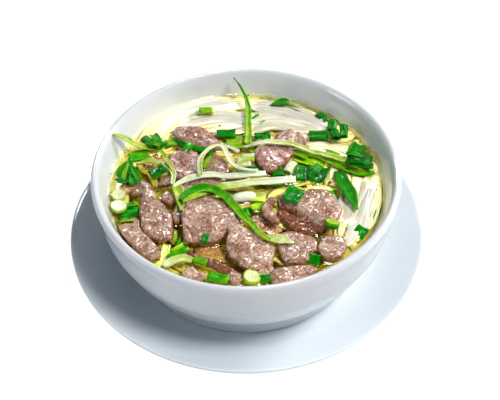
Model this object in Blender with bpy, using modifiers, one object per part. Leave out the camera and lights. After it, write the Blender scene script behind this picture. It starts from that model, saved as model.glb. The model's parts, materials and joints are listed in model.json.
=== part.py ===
"""Pho noodle soup: beef slices, rice noodles and spring onion in clear broth, in a white bowl on its saucer.

The frame: +Z up, the bowl's axis on Z, the origin on the table under the middle of the saucer, and -Y
towards the person who eats. The tables give millimetres; the script's unit is the metre, so MM turns one
into the other.
The contents are piled from the bottom up: each piece is laid on whatever is already under it.
"""

import math
from collections import namedtuple

import bmesh
import bpy
from mathutils import Matrix, Vector
from mathutils.bvhtree import BVHTree

MM = 0.001
GAP = 0.4  # clear space kept between pieces that touch

# ---- driving sizes ----
SAUCER_WELL_TOP = 8.0  # the saucer's well above the table
BOWL_BASE = SAUCER_WELL_TOP + 0.3
BOWL_HEIGHT = 78.0
BROTH_BELOW_RIM = 17.3
LEVEL = BOWL_BASE + BOWL_HEIGHT - BROTH_BELOW_RIM  # the broth's surface above the table
TURN_STEPS = 36

# Section lines as (radius, height), from the middle of the upper side out over the rim and back underneath.
SAUCER_SECTION = [
    (0, 8.0), (84, 8.0), (92, 10.2), (104, 16.4), (116, 23.6), (123.6, 28.2), (125.2, 28.8), (126, 27.8),
    (118, 21.6), (104, 12.6), (92, 6.8), (80, 4.2), (74, 3.6), (73, 0.2), (72, 0), (68, 0), (67, 3.2),
    (0, 3.2),
]
BOWL_INSIDE = [(0, 10), (36, 10.6), (58, 14), (74, 22), (84, 33), (90, 45), (93.4, 56), (95.4, 63), (99, 74)]
BOWL_OUTSIDE = [
    (100.6, 77), (102.6, 78), (104.6, 76.8), (105, 74.6), (103.2, 66), (102, 50), (98.6, 38.2), (95.3, 30),
    (90.7, 21.7), (86.4, 15.4), (82, 9), (80, 7.6), (81.4, 1), (80.6, 0), (77, 0), (75.4, 4), (0, 4.6),
]

NOODLE_SUNK = -8.0  # top of the noodle heap, from the broth's surface, where it does not show
NOODLE_CORNERS = 26
SHARP_FROM = math.radians(50)  # edges bent more than this stay crisp
PART_NAME = "pho_noodle_soup"

COLOURS = {
    "porcelain": (0.88, 0.89, 0.91),
    "broth": (0.70, 0.58, 0.20),
    "noodle": (0.88, 0.86, 0.76),
    "beef": (0.42, 0.26, 0.21),
    "green": (0.05, 0.28, 0.03),
    "light_green": (0.36, 0.52, 0.06),
    "pale": (0.74, 0.80, 0.48),
}

Slice = namedtuple("Slice", "name thick lift rise_x rise_y outline")
Strand = namedtuple("Strand", "name colour wide thick ends turn route")
Cut = namedtuple("Cut", "name colour x y long wide tall heading pitch lift")

# Beef, lowest first: underside's height over the broth at the middle, its slope along X and Y, the outline.
BEEF = [
    Slice("beef_back_left", 4.4, -0.4, 0.02, 0.06, [
        (-53, 50), (-49, 55), (-40, 54), (-30, 52), (-24, 46), (-17, 37), (-18, 32), (-24, 33),
        (-32, 35), (-46, 41)]),
    Slice("beef_back_right", 4.4, 0.0, 0.0, 0.05, [
        (18, 40), (20, 45), (26, 49), (33, 52), (41, 48), (45, 42), (42, 37), (30, 36)]),
    Slice("beef_pocket", 3.8, -2.2, 0.0, 0.0, [
        (0, 29), (6, 29), (9, 22), (11, 14), (6, 14), (1, 20)]),
    Slice("beef_far_left", 4.6, -2.4, 0.10, 0.0, [
        (-79, 3), (-73, 7), (-67, 4), (-65, -3), (-70, -9), (-78, -8)]),
    Slice("beef_under_strands", 4.2, -0.4, 0.0, 0.02, [
        (-50, -4), (-43, 2), (-30, 4), (-19, 3), (-13, -1), (-19, -6), (-32, -7), (-45, -7)]),
    Slice("beef_centre_left", 4.6, 0.8, -0.04, 0.08, [
        (-55, 18), (-52, 28), (-44, 33), (-36, 29), (-32, 22), (-32, 11), (-38, 6), (-49, 6)]),
    Slice("beef_centre", 4.4, 0.8, 0.0, 0.08, [
        (-29, 14), (-23, 25), (-18, 23), (-12, 16), (-11, 8), (-20, 6), (-28, 7)]),
    Slice("beef_right_of_leaf", 4.6, 1.2, 0.02, 0.07, [
        (6, 29), (13, 34), (25, 35), (35, 31), (31, 22), (25, 16), (18, 10), (12, 10), (8, 18)]),
    Slice("beef_fold_left", 4.4, -1.0, 0.0, 0.06, [
        (-63, -5), (-57, 3), (-51, 3), (-47, -1), (-51, -5), (-56, -5)]),
    Slice("beef_crumple", 4.4, 0.0, 0.06, 0.0, [
        (-59, -10), (-54, -8), (-50, -11), (-48, -17), (-50, -21), (-55, -18)]),
    Slice("beef_beside_large", 4.2, -0.4, 0.0, 0.06, [
        (-50, -25), (-47, -20), (-43, -22), (-43, -32), (-46, -37), (-49, -32)]),
    Slice("beef_long_left", 5.0, 0.8, 0.05, 0.04, [
        (-68, -6), (-63, -8), (-60, -15), (-55, -22), (-50, -32), (-49, -44), (-52, -52), (-59, -51),
        (-67, -43), (-71, -31), (-70, -18)]),
    Slice("beef_front_left", 4.8, -0.6, 0.08, 0.08, [
        (-85, -37), (-79, -35), (-72, -40), (-63, -51), (-55, -61), (-57, -67), (-66, -64), (-77, -52)]),
    Slice("beef_large", 4.4, 0.6, -0.01, 0.04, [
        (-43, -25), (-38, -18), (-28, -15), (-15, -18), (-7, -25), (-2, -34), (-4, -41), (-12, -46),
        (-17, -51), (-27, -54), (-36, -57), (-41, -49), (-43, -37)]),
    Slice("beef_small_pink", 4.0, -2.6, 0.0, 0.04, [
        (-1, -28), (7, -27), (14, -31), (22, -38), (28, -44), (20, -45), (10, -43), (3, -40)]),
    Slice("beef_front", 4.8, 0.4, 0.0, 0.04, [
        (-14, -52), (-12, -46), (-5, -42), (1, -43), (9, -50), (17, -58), (19, -66), (15, -74),
        (5, -76), (-5, -74), (-11, -67)]),
    Slice("beef_broad_front", 4.4, 0.2, 0.02, 0.02, [
        (19, -50), (27, -47), (38, -48), (45, -50), (45, -58), (43, -66), (34, -71), (25, -71),
        (21, -62)]),
    Slice("beef_at_wall", 4.8, -0.8, 0.0, 0.08, [
        (15, -79), (21, -75), (29, -74), (40, -74), (47, -75), (40, -82), (28, -87), (16, -88)]),
    Slice("beef_round", 6.0, -0.2, 0.0, 0.05, [
        (45, -56), (49, -51), (55, -49), (63, -51), (66, -58), (61, -65), (54, -69), (47, -66)]),
    Slice("beef_front_small", 4.2, -0.8, 0.0, 0.10, [
        (-43, -75), (-36, -73), (-31, -77), (-26, -76), (-25, -82), (-34, -84), (-42, -80)]),
    Slice("beef_fold_under", 4.4, -1.4, 0.04, 0.06, [
        (20, -25), (30, -26), (40, -33), (50, -41), (49, -46), (42, -47), (32, -42), (24, -35)]),
    Slice("beef_folded", 5.0, 3.6, 0.03, 0.02, [
        (20, -25), (22, -16), (29, -12), (39, -10), (50, -12), (60, -18), (63, -27), (61, -38),
        (54, -46), (47, -47), (39, -40), (30, -31)]),
]

# Long pieces: the ends' width as a share of the full one, a twist in degrees, a route of (x, y, height).
STRANDS = [
    Strand("beef_crimped_edge", "beef", 6, 2.6, (0.5, 0.6), 40, [
        (-38, -58, -1), (-34, -64, 0), (-26, -69, 1), (-18, -73, 1), (-8, -79, 0), (0, -80, 0)]),
    Strand("beef_curled_lobe", "beef", 8, 3.6, (0.7, 0.6), 40, [
        (20, -40, 0), (13, -32, 0), (13, -22, 3), (17, -16, 3)]),
    Strand("leaf_back", "light_green", 7, 1.2, (0.4, 0.8), 0, [
        (-12, 43, 0), (-3, 42, 1), (6, 39, 1)]),
    Strand("leaf_on_noodles", "green", 8, 1.0, (0.6, 0.2), 0, [
        (64, 11, 1), (67, -2, 3), (71, -16, 5), (74, -28, 4)]),
    Strand("strand_at_wall", "light_green", 4, 1.4, (0.3, 1), 0, [
        (-93, 35, 18), (-89, 35, 12), (-84, 35, 7), (-78, 34, 4), (-70, 35, 2), (-60, 36, 1)]),
    Strand("strand_left", "pale", 3.4, 1.6, (0.5, 1), 0, [
        (-79, 20, 0), (-70, 22, 1), (-61, 21, 2), (-55, 15, 3), (-53, 5, 3), (-48, -8, 3),
        (-44, -18, 3)]),
    Strand("strand_right_green", "light_green", 4.4, 1.4, (0.5, 0.5), 0, [
        (37, 29, 1), (50, 27, 1), (60, 20, 1), (72, 12, 1), (82, 8, 1), (89, 9, 1)]),
    Strand("strand_right_pale", "pale", 3.4, 1.6, (0.4, 0.6), 0, [
        (-2, 34, 1), (8, 33, 4), (20, 33, 7), (31, 32, 7), (45, 28, 4), (60, 23, 2), (74, 17, 1),
        (86, 12, 1)]),
    Strand("strand_thick_white", "pale", 7, 2.8, (0.4, 0.8), 0, [
        (-27, -10, 3), (-10, -6, 4), (5, -3, 4), (20, -2, 4), (34, -1, 4)]),
    Strand("strand_middle", "pale", 4.4, 2.0, (0.6, 0.8), 0, [
        (-45, -1, 3), (-38, 2, 4), (-28, 4, 5), (-15, 3, 5), (0, 2, 5), (14, 5, 5)]),
    Strand("strand_loop", "pale", 3, 1.6, (0.8, 0.6), 30, [
        (-31, 2, 7), (-32, 13, 8), (-30, 20, 8), (-24, 27, 9), (-19, 29, 9), (-15, 26, 9), (-12, 17, 8),
        (-7, 8, 7), (0, 4, 7), (8, 4, 7)]),
    Strand("leaf_middle", "green", 6.5, 1.2, (0.4, 0.5), 0, [
        (-44, -21, 4), (-39, -14, 6), (-31, -10, 7), (-24, -11, 8), (-15, -17, 8), (-8, -26, 7),
        (0, -39, 6), (8, -50, 6), (15, -56, 5)]),
    Strand("strand_front_green", "green", 4.2, 2, (1, 1), 0, [
        (-51, -67, 1), (-46, -64, 1), (-39, -60, 1)]),
    Strand("strand_front_pale", "pale", 5, 2, (0.6, 0.8), 0, [
        (-53, -74, 0), (-46, -70, 1), (-40, -68, 1), (-35, -70, 0)]),
    Strand("leaf_tall", "green", 5, 1.4, (1, 0.1), 0, [
        (1, 37, 0), (2, 48, 2), (2, 62, 4), (1, 78, 7), (-4, 87, 13), (-9, 93, 19)]),
]

# Short cut pieces, lowest first: middle, size, turn from +X and tilt of the long side, height over the broth.
CUTS = [
    Cut("cut_back_light", "light_green", -29, 72, 10, 7, 2.6, 4, 0, 0.2),
    Cut("cut_back_dark", "green", -14, 48, 14, 9, 2.4, 2, 0, 0.2),
    Cut("cut_back_leaf", "green", 27, 80, 13, 6, 1.4, 12, 0, 0.2),
    Cut("cut_tube_right", "green", 52, 45, 13, 9, 3.6, 0, 0, 0.2),
    Cut("cut_right_long", "green", 63, 47, 20, 7, 3, 80, 4, 0.2),
    Cut("cut_right_back", "green", 70, 44, 12, 6, 2.4, 84, 0, 0.2),
    Cut("cut_right_wall", "green", 79, 33, 10, 10, 2, 60, 0, 0.2),
    Cut("cut_dark_leaf", "green", 79, 17, 17, 14, 1.6, -14, 0, 0.2),
    Cut("cut_behind_beef", "green", 12, 42, 11, 8, 3.6, 10, 0, 0.2),
    Cut("cut_left_cluster", "green", -65, 43, 14, 10, 3.4, -40, 8, 0.2),
    Cut("cut_left_wall", "green", -82, 14, 21, 12, 3, 80, 4, 0.2),
    Cut("cut_left_square", "green", -63, 11, 11, 9, 2.6, 40, 8, 0.4),
    Cut("cut_left_front", "green", -80, -25, 15, 13, 2, 76, 0, 0.2),
    Cut("cut_middle_white", "pale", -1, 18, 12, 8, 4, 8, 0, 0.2),
    Cut("cut_middle_dark", "green", 42, 7, 14, 9, 3.6, 80, 0, 0.2),
    Cut("cut_middle_right", "green", 53, 6, 16, 10, 3.6, 76, 0, 0.2),
    Cut("cut_on_beef", "green", 32, -20, 13, 12, 1.6, 80, 6, 0.2),
    Cut("cut_front", "green", -18, -83, 13, 7, 3, -12, 0, 0.2),
]


def smooth_points(points, step, closed=False):
    """A smooth line through the points, as points about one step apart."""
    pts = [Vector(p) for p in points]
    count = len(pts)
    fine = []
    for i in range(count if closed else count - 1):
        a, b = pts[i], pts[(i + 1) % count]
        before = pts[i - 1] if closed or i else a
        after = pts[(i + 2) % count] if closed or i + 2 < count else b
        for k in range(8):
            t = k / 8
            fine.append(0.5 * (2 * a + (b - before) * t + (2 * before - 5 * a + 4 * b - after) * t * t
                               + (3 * a - before - 3 * b + after) * t ** 3))
    fine.append(pts[0] if closed else pts[-1])
    run = [0.0]
    for a, b in zip(fine, fine[1:]):
        run.append(run[-1] + (b - a).length)
    parts = max(2, round(run[-1] / step))
    line, k = [], 0
    for i in range(parts if closed else parts + 1):
        at = run[-1] * i / parts
        while k < len(run) - 2 and run[k + 1] < at:
            k += 1
        line.append(fine[k].lerp(fine[k + 1], (at - run[k]) / (run[k + 1] - run[k])))
    return line


def material(name):
    found = bpy.data.materials.get(name)
    if found:
        return found
    made = bpy.data.materials.new(name)
    made.use_nodes = True
    shader = made.node_tree.nodes["Principled BSDF"]
    shader.inputs["Base Color"].default_value = (*COLOURS[name], 1)
    shader.inputs["Roughness"].default_value = 0.15 if name in ("porcelain", "broth") else 0.4
    return made


def collection(name):
    """The scene's collection of that name, made the first time it is asked for."""
    found = bpy.data.collections.get(name)
    if not found:
        found = bpy.data.collections.new(name)
        bpy.context.scene.collection.children.link(found)
    return found


def new_object(name, colour, bm, group=PART_NAME):
    """Turn a mesh built in millimetres into an object in metres."""
    bmesh.ops.scale(bm, vec=(MM, MM, MM), verts=bm.verts)
    bmesh.ops.recalc_face_normals(bm, faces=bm.faces)
    mesh = bpy.data.meshes.new(name)
    bm.to_mesh(mesh)
    bm.free()
    mesh.shade_smooth()
    mesh.set_sharp_from_angle(angle=SHARP_FROM)
    obj = bpy.data.objects.new(name, mesh)
    collection(group).objects.link(obj)
    own = material(colour).copy()
    own.name = name
    mesh.materials.append(own)
    return obj


def apply_modifiers(obj, main_body_only=False):
    """Give the object the mesh that its modifiers make, in triangles."""
    bpy.context.view_layer.update()
    mesh = bpy.data.meshes.new_from_object(obj.evaluated_get(bpy.context.evaluated_depsgraph_get()))
    obj.modifiers.clear()
    bm = bmesh.new()
    bm.from_mesh(mesh)
    if main_body_only:
        bmesh.ops.delete(bm, geom=loose_drops(bm), context="VERTS")
    bmesh.ops.triangulate(bm, faces=bm.faces)
    bm.to_mesh(mesh)
    bm.free()
    obj.data = mesh


def loose_drops(bm):
    """The vertices outside the largest connected body."""
    bodies, seen = [], set()
    for first in bm.verts:
        if first in seen:
            continue
        body, edge = {first}, [first]
        while edge:
            for e in edge.pop().link_edges:
                for v in e.verts:
                    if v not in body:
                        body.add(v)
                        edge.append(v)
        seen |= body
        bodies.append(body)
    largest = max(bodies, key=len)
    return [v for v in bm.verts if v not in largest]


def turned(name, colour, section, height=0.0):
    """A lathe-turned piece from its section line, closed on the axis at both ends."""
    bm = bmesh.new()
    verts = [bm.verts.new((r, 0, z + height)) for r, z in section]
    for a, b in zip(verts, verts[1:]):
        bm.edges.new((a, b))
    obj = new_object(name, colour, bm)
    screw = obj.modifiers.new("turn", "SCREW")
    screw.axis = "Z"
    screw.steps = screw.render_steps = TURN_STEPS
    screw.use_merge_vertices = True
    screw.merge_threshold = 0.00001
    screw.use_normal_calculate = True
    screw.use_smooth_shade = True
    return obj


# ---- the pile: how high the contents stand on each square millimetre, and just beside it ----
pile = {}


def heights(mesh, downward):
    """Height of the mesh's upper or lower face over each cell, in mm, with the face that was met."""
    tree = BVHTree.FromPolygons([v.co for v in mesh.vertices], [p.vertices for p in mesh.polygons])
    start, way = (300, Vector((0, 0, -1))) if downward else (0, Vector((0, 0, 1)))
    xs, ys = [v.co.x for v in mesh.vertices], [v.co.y for v in mesh.vertices]
    found = {}
    for i in range(math.floor(min(xs)), math.ceil(max(xs)) + 1):
        for j in range(math.floor(min(ys)), math.ceil(max(ys)) + 1):
            place, _, face, _ = tree.ray_cast(Vector((i, j, start)), way)
            if place:
                found[i, j] = place.z, face
    return found


def drape(bm, steepest):
    """Raise the sheet just where it would meet the pile, with no fold steeper than the limit."""
    sheet = bpy.data.meshes.new("sheet")
    for _ in range(25):
        bm.to_mesh(sheet)
        bm.faces.ensure_lookup_table()
        raised = {}
        for cell, (z, face) in heights(sheet, downward=False).items():
            short = pile.get(cell, 0.0) + GAP - z
            if short > 0.01:
                for v in bm.faces[face].verts:
                    raised[v] = max(raised.get(v, 0.0), short)
        for v, short in raised.items():
            v.co.z += short
        for e in bm.edges:
            lower, upper = sorted(e.verts, key=lambda v: v.co.z)
            lower.co.z = max(lower.co.z, upper.co.z - (lower.co.xy - upper.co.xy).length * steepest)
        if not raised:
            break
    bpy.data.meshes.remove(sheet)


def settle(obj):
    """Raise the piece if it is not clear of the pile yet, then add it to the pile."""
    mesh = obj.data.copy()
    mesh.transform(Matrix.Scale(1 / MM, 4))
    under = heights(mesh, downward=False).items()
    lift = max([pile.get(cell, 0.0) + GAP - z for cell, (z, _) in under] + [0.0])
    obj.data.transform(Matrix.Translation((0, 0, lift * MM)))
    for (i, j), (z, _) in heights(mesh, downward=True).items():
        for beside in ((0, 0), (1, 0), (-1, 0), (0, 1), (0, -1), (1, 1), (1, -1), (-1, 1), (-1, -1)):
            cell = i + beside[0], j + beside[1]
            pile[cell] = max(pile.get(cell, 0.0), z + lift)
    bpy.data.meshes.remove(mesh)
    return obj


def round_edges(obj, width):
    bevel = obj.modifiers.new("rounded edge", "BEVEL")
    bevel.width = width * MM
    bevel.segments = 1
    bevel.limit_method = "ANGLE"
    bevel.angle_limit = math.radians(62)


# ---- the kinds of piece ----
def disc(corners, rings):
    """A round sheet of radius 1, finer towards the middle."""
    bm = bmesh.new()
    bmesh.ops.create_circle(bm, cap_ends=True, segments=corners, radius=1)
    for _ in range(rings):
        middle = max(bm.faces, key=lambda f: len(f.verts))
        bmesh.ops.inset_region(bm, faces=[middle], thickness=1 / (rings + 1), use_even_offset=True)
    bmesh.ops.poke(bm, faces=[max(bm.faces, key=lambda f: len(f.verts))])
    bmesh.ops.triangulate(bm, faces=bm.faces)
    return bm


def beef_slice(piece):
    """A flat piece with rounded edges that hangs over whatever lies under it."""
    corners = [Vector((x, y, 0)) for x, y in piece.outline]
    around = sum((a - b).length for a, b in zip(corners, corners[1:] + corners[:1]))
    line = smooth_points(corners, min(7.5, around / 10), closed=True)
    middle = sum(line, Vector()) / len(line)

    bm = disc(len(line), 2 if around > 80 else 1)
    for v in bm.verts:
        corner = round(math.atan2(v.co.y, v.co.x) / math.tau * len(line)) % len(line)
        v.co = middle.lerp(line[corner], v.co.length)
        away = v.co - middle
        v.co.z = LEVEL + piece.lift + away.x * piece.rise_x + away.y * piece.rise_y
    drape(bm, 0.6)
    upper = bmesh.ops.extrude_face_region(bm, geom=bm.faces[:], use_keep_orig=True)["geom"]
    for v in upper:
        if isinstance(v, bmesh.types.BMVert):
            v.co.z += piece.thick
    bmesh.ops.triangulate(bm, faces=bm.faces)
    obj = settle(new_object(piece.name, "beef", bm))
    round_edges(obj, 1.2)
    return obj


def strand(piece):
    """A long flat blade laid along its route, tapered and twisted as stated."""
    line = smooth_points(piece.route, 6.5)
    bm = bmesh.new()
    bmesh.ops.create_grid(bm, x_segments=len(line) - 1, y_segments=1, size=0.5)
    start, end = piece.ends
    tree = sorted({round(v.co.x, 5) for v in bm.verts})
    for v in bm.verts:
        k = tree.index(round(v.co.x, 5))
        t = k / (len(line) - 1)
        along = (line[min(k + 1, len(line) - 1)] - line[max(k - 1, 0)]).normalized()
        side = along.cross(Vector((0, 0, 1))).normalized()
        side.rotate(Matrix.Rotation(math.radians(piece.turn), 3, along))
        share = min(1.0, start + (1 - start) * 4 * t, end + (1 - end) * 3 * (1 - t))
        v.co = line[k] + Vector((0, 0, LEVEL)) - side * (v.co.y * 2 * piece.wide * share / 2)
    bmesh.ops.triangulate(bm, faces=bm.faces)
    drape(bm, 0.8)
    obj = new_object(piece.name, piece.colour, bm)
    if sum(p.normal.z for p in obj.data.polygons) < 0:
        obj.data.flip_normals()
    solid = obj.modifiers.new("thickness", "SOLIDIFY")
    solid.thickness = piece.thick * MM
    solid.offset = 1
    apply_modifiers(obj)
    return settle(obj)


def cut_piece(piece):
    """A short length of onion leaf, pressed flat by the knife."""
    bm = bmesh.new()
    bmesh.ops.create_cone(bm, cap_ends=True, segments=10, radius1=0.5, radius2=0.5, depth=1)
    place = Matrix.Translation((piece.x, piece.y, LEVEL + piece.lift + piece.tall / 2))
    place @= Matrix.Rotation(math.radians(piece.heading), 4, "Z")
    place @= Matrix.Rotation(math.radians(-piece.pitch), 4, "Y")
    place @= Matrix.Diagonal((piece.long, piece.wide, piece.tall, 1))
    place @= Matrix.Rotation(math.radians(90), 4, "Y")
    bmesh.ops.transform(bm, matrix=place, verts=bm.verts)
    return settle(new_object(piece.name, piece.colour, bm))


def swell(low, high, value):
    """Rises smoothly from 0 to 1 as the value goes from low to high."""
    t = min(1.0, max(0.0, (value - low) / (high - low)))
    return t * t * (3 - 2 * t)


def noodle_top(x, y):
    """The heap shows above the broth in two places: along the back and in a bundle at the right."""
    r = math.hypot(x, y)
    back = swell(40, 58, r) * swell(28, 52, y)
    right = swell(50, 61, x) * swell(-64, -50, y) * swell(20, 4, y)
    return LEVEL + NOODLE_SUNK + 10.5 * max(back, right) + 0.6 * math.sin(x * 0.7) * math.sin(y * 0.6)


def noodle_heap():
    """One solid for the heap: a ball pressed into the bowl, narrower in its well, uneven on top."""
    bm = bmesh.new()
    bmesh.ops.create_uvsphere(bm, u_segments=NOODLE_CORNERS, v_segments=12, radius=1)
    for v in bm.verts:
        turn = math.atan2(v.co.y, v.co.x)
        out = min(1.0, v.co.xy.length)
        reach = 87.5 + 1.6 * math.sin(5 * turn) + 1.2 * math.sin(8 * turn + 1)
        if v.co.z > -0.1:
            share = out ** 0.7
            x, y = reach * share * math.cos(turn), reach * share * math.sin(turn)
            v.co = x, y, noodle_top(x, y) - (6.0 if v.co.z < 0.1 else 0.0)
        else:
            share = out * 0.95
            floor = BOWL_BASE + 13 + 34 * swell(0.55, 1.0, share)
            v.co = reach * share * math.cos(turn), reach * share * math.sin(turn), floor
    bmesh.ops.triangulate(bm, faces=bm.faces)
    return settle(new_object("noodles", "noodle", bm))


def inset_line(section, gap):
    """The same section line moved to the hollow's side by the gap."""
    moved = []
    for k, (r, z) in enumerate(section):
        r0, z0 = section[max(k - 1, 0)]
        r1, z1 = section[min(k + 1, len(section) - 1)]
        along = Vector((r1 - r0, z1 - z0)).normalized()
        moved.append((max(0.0, r - along.y * gap) if r else 0.0, z + along.x * gap))
    return moved


def hollow_for(piece):
    """A copy of the piece, grown by the gap, that cuts its place in the broth."""
    bm = bmesh.new()
    bm.from_mesh(piece.data)
    bm.normal_update()
    moves = [(v, v.normal * v.calc_shell_factor() * GAP * 0.8) for v in bm.verts]
    bmesh.ops.scale(bm, vec=(1 / MM, 1 / MM, 1 / MM), verts=bm.verts)
    for v, move in moves:
        v.co += move
    cutter = new_object("hollow_" + piece.name, "broth", bm, group="hollows")
    cutter.hide_render = True
    cutter.display_type = "WIRE"
    return cutter


def broth(contents):
    """The liquid up to its level, hollowed where the contents stand in it."""
    wall = inset_line(BOWL_INSIDE, GAP)
    top = LEVEL - BOWL_BASE
    below = [p for p in wall if p[1] < top - 1]
    (r0, z0), (r1, z1) = below[-1], wall[len(below)]
    edge = r0 + (r1 - r0) * (top - z0) / (z1 - z0)
    body = turned("broth", "broth", [(0, top), (edge * 0.6, top), (edge, top)] + below[::-1], BOWL_BASE)
    for piece in contents:
        if min(v.co.z for v in piece.data.vertices) > (LEVEL + GAP) * MM:
            continue
        cut = body.modifiers.new("hollow for " + piece.name, "BOOLEAN")
        cut.operation = "DIFFERENCE"
        cut.solver = "EXACT"
        cut.object = hollow_for(piece)
    apply_modifiers(body, main_body_only=True)


def main():
    for obj in list(bpy.data.objects):
        bpy.data.objects.remove(obj, do_unlink=True)
    turned("saucer", "porcelain", SAUCER_SECTION)
    turned("bowl", "porcelain", BOWL_INSIDE + BOWL_OUTSIDE, BOWL_BASE)
    contents = [noodle_heap()]
    contents += [beef_slice(piece) for piece in BEEF]
    contents += [strand(piece) for piece in STRANDS]
    contents += [cut_piece(piece) for piece in CUTS]
    broth(contents)


main()
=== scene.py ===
# %% [markdown]
# # A bowl of beef noodle soup
# The serving is a white porcelain bowl on its saucer, filled with clear broth, flat rice noodles, thin
# slices of beef and cut spring onion. The solids that fix where everything lies come first. Each lesson
# then takes one of them, says what it is on the table in front of you, and models and finishes it.

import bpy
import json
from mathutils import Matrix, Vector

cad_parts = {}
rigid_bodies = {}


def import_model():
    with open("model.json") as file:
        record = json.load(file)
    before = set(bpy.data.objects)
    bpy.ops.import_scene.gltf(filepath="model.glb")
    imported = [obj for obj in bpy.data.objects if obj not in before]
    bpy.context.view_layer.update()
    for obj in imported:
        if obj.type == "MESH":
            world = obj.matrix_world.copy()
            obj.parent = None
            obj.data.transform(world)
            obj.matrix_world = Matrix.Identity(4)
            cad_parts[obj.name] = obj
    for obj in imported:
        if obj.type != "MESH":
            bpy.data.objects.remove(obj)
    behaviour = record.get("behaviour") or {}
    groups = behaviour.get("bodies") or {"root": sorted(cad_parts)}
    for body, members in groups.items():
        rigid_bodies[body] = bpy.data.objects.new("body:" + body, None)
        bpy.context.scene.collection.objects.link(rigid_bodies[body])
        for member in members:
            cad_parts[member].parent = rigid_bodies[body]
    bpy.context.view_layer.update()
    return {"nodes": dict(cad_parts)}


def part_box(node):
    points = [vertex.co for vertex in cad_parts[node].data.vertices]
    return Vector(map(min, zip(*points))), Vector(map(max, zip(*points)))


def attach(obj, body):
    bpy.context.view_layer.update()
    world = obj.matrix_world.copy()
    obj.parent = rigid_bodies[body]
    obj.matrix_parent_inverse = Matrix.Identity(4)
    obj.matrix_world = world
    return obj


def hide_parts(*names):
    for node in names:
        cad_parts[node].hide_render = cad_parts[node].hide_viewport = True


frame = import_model()

# %% [markdown]
# Blender works in metres, but a cook and a potter think in millimetres. One constant turns one into the
# other, and a seeded random generator makes every run the same.

# %% Units, tools and chance
import json
import random
from math import atan2, copysign, cos, exp, hypot, pi, radians, sin, sqrt, tau

import bmesh
import bpy
from mathutils import Matrix, Vector, noise
from mathutils.bvhtree import BVHTree

MM = 0.001
chance = random.Random(7)
noise.seed_set(7)

# %% [markdown]
# Four sizes are read off the frame: how wide the bowl is, where its foot and its rim are, and how high the
# broth comes.

# %% Measures from the frame
bowl_low, bowl_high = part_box("bowl")
BOWL_RADIUS = bowl_high[0] / MM
BOWL_BASE = bowl_low[2] / MM
RIM = bowl_high[2] / MM
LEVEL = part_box("broth")[1][2] / MM
print(f"bowl {2 * BOWL_RADIUS:.0f} mm wide, its foot at {BOWL_BASE:.1f} mm")
print(f"rim at {RIM:.1f}, broth at {LEVEL:.1f} mm")

# %% [markdown]
# ## Tools that every piece uses
# A finished mesh becomes one object at the origin. It rides on the only body, takes the finish it is given,
# and hides the plain solids it stands for.

# %% From a bmesh to a finished piece
def finish_piece(name, bm, material, solids=()):
    """Hand the bmesh, which is in millimetres, over as one object in metres."""
    print(f"{name}: {len(bm.calc_loop_triangles())} triangles")
    bmesh.ops.scale(bm, vec=(MM, MM, MM), verts=bm.verts)
    mesh = bpy.data.meshes.new(name)
    bm.to_mesh(mesh)
    bm.free()
    mesh.shade_smooth()
    mesh.materials.append(material)
    piece = bpy.data.objects.new(name, mesh)
    bpy.context.scene.collection.objects.link(piece)
    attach(piece, "root")
    if solids:
        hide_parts(*solids)
    return piece


# %% [markdown]
# A smooth line through a few chosen points is what bends noodles, leaves and the bowl's wall. Catmull-Rom
# passes through each point, so the points can be read straight off the object.

# %% Smooth lines
def smooth_line(points, step, closed=False):
    """Points about one step apart on a smooth curve through the given ones."""
    pts = [Vector(p) for p in points]
    n = len(pts)
    fine = []
    for i in range(n if closed else n - 1):
        a, b = pts[i], pts[(i + 1) % n]
        before = pts[i - 1] if closed or i else a
        after = pts[(i + 2) % n] if closed or i + 2 < n else b
        for k in range(12):
            t = k / 12
            fine.append(0.5 * (2 * a + (b - before) * t + (2 * before - 5 * a + 4 * b - after) * t * t
                               + (3 * a - before - 3 * b + after) * t ** 3))
    fine.append(pts[0] if closed else pts[-1])
    run = [0.0]
    for a, b in zip(fine, fine[1:]):
        run.append(run[-1] + (b - a).length)
    parts = max(2, round(run[-1] / step))
    line, k = [], 0
    for i in range(parts if closed else parts + 1):
        at = run[-1] * i / parts
        while k < len(run) - 2 and run[k + 1] < at:
            k += 1
        line.append(fine[k].lerp(fine[k + 1], (at - run[k]) / max(run[k + 1] - run[k], 1e-9)))
    return line


def swell(low, high, value):
    """Rises smoothly from 0 to 1 as the value goes from low to high."""
    t = min(1.0, max(0.0, (value - low) / (high - low)))
    return t * t * (3 - 2 * t)


# %% [markdown]
# The plain solids say how high things lie. A ray dropped on a solid finds its upper face, so a leaf or a
# loose bit can be laid on it.

# %% Heights of the solids
UP = Vector((0, 0, 1))
ABOVE = 200  # a height that is over everything


def tree_of(meshes):
    """A search tree over the given meshes, in millimetres."""
    corners, faces = [], []
    for mesh in meshes:
        start = len(corners)
        corners += [v.co / MM for v in mesh.vertices]
        faces += [[start + i for i in p.vertices] for p in mesh.polygons]
    return BVHTree.FromPolygons(corners, faces)


def tree_of_solids(names):
    return tree_of(frame["nodes"][name].data for name in names)


def top_of(tree, x, y, missing=None):
    hit = tree.ray_cast(Vector((x, y, ABOVE)), -UP)[0]
    return hit.z if hit else missing


BEEF_SOLIDS = sorted(n for n in frame["nodes"] if n.startswith("beef_"))
print(len(BEEF_SOLIDS), "slices of beef in the frame")

# %% [markdown]
# ## Colours and finishes
# Colours are written as the hex values a painter's chart gives. Those are sRGB, and shaders add up light,
# which is linear, so one function converts them.

# %% sRGB to linear
def colour(hex_value):
    channels = [int(hex_value[i:i + 2], 16) / 255 for i in (1, 3, 5)]
    return [c / 12.92 if c <= 0.04045 else ((c + 0.055) / 1.055) ** 2.4 for c in channels] + [1.0]


# %% [markdown]
# A finish is a small network of nodes. One helper adds a node, sets what is given as a value, and links what
# is given as another node or as one of its sockets.

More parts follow.
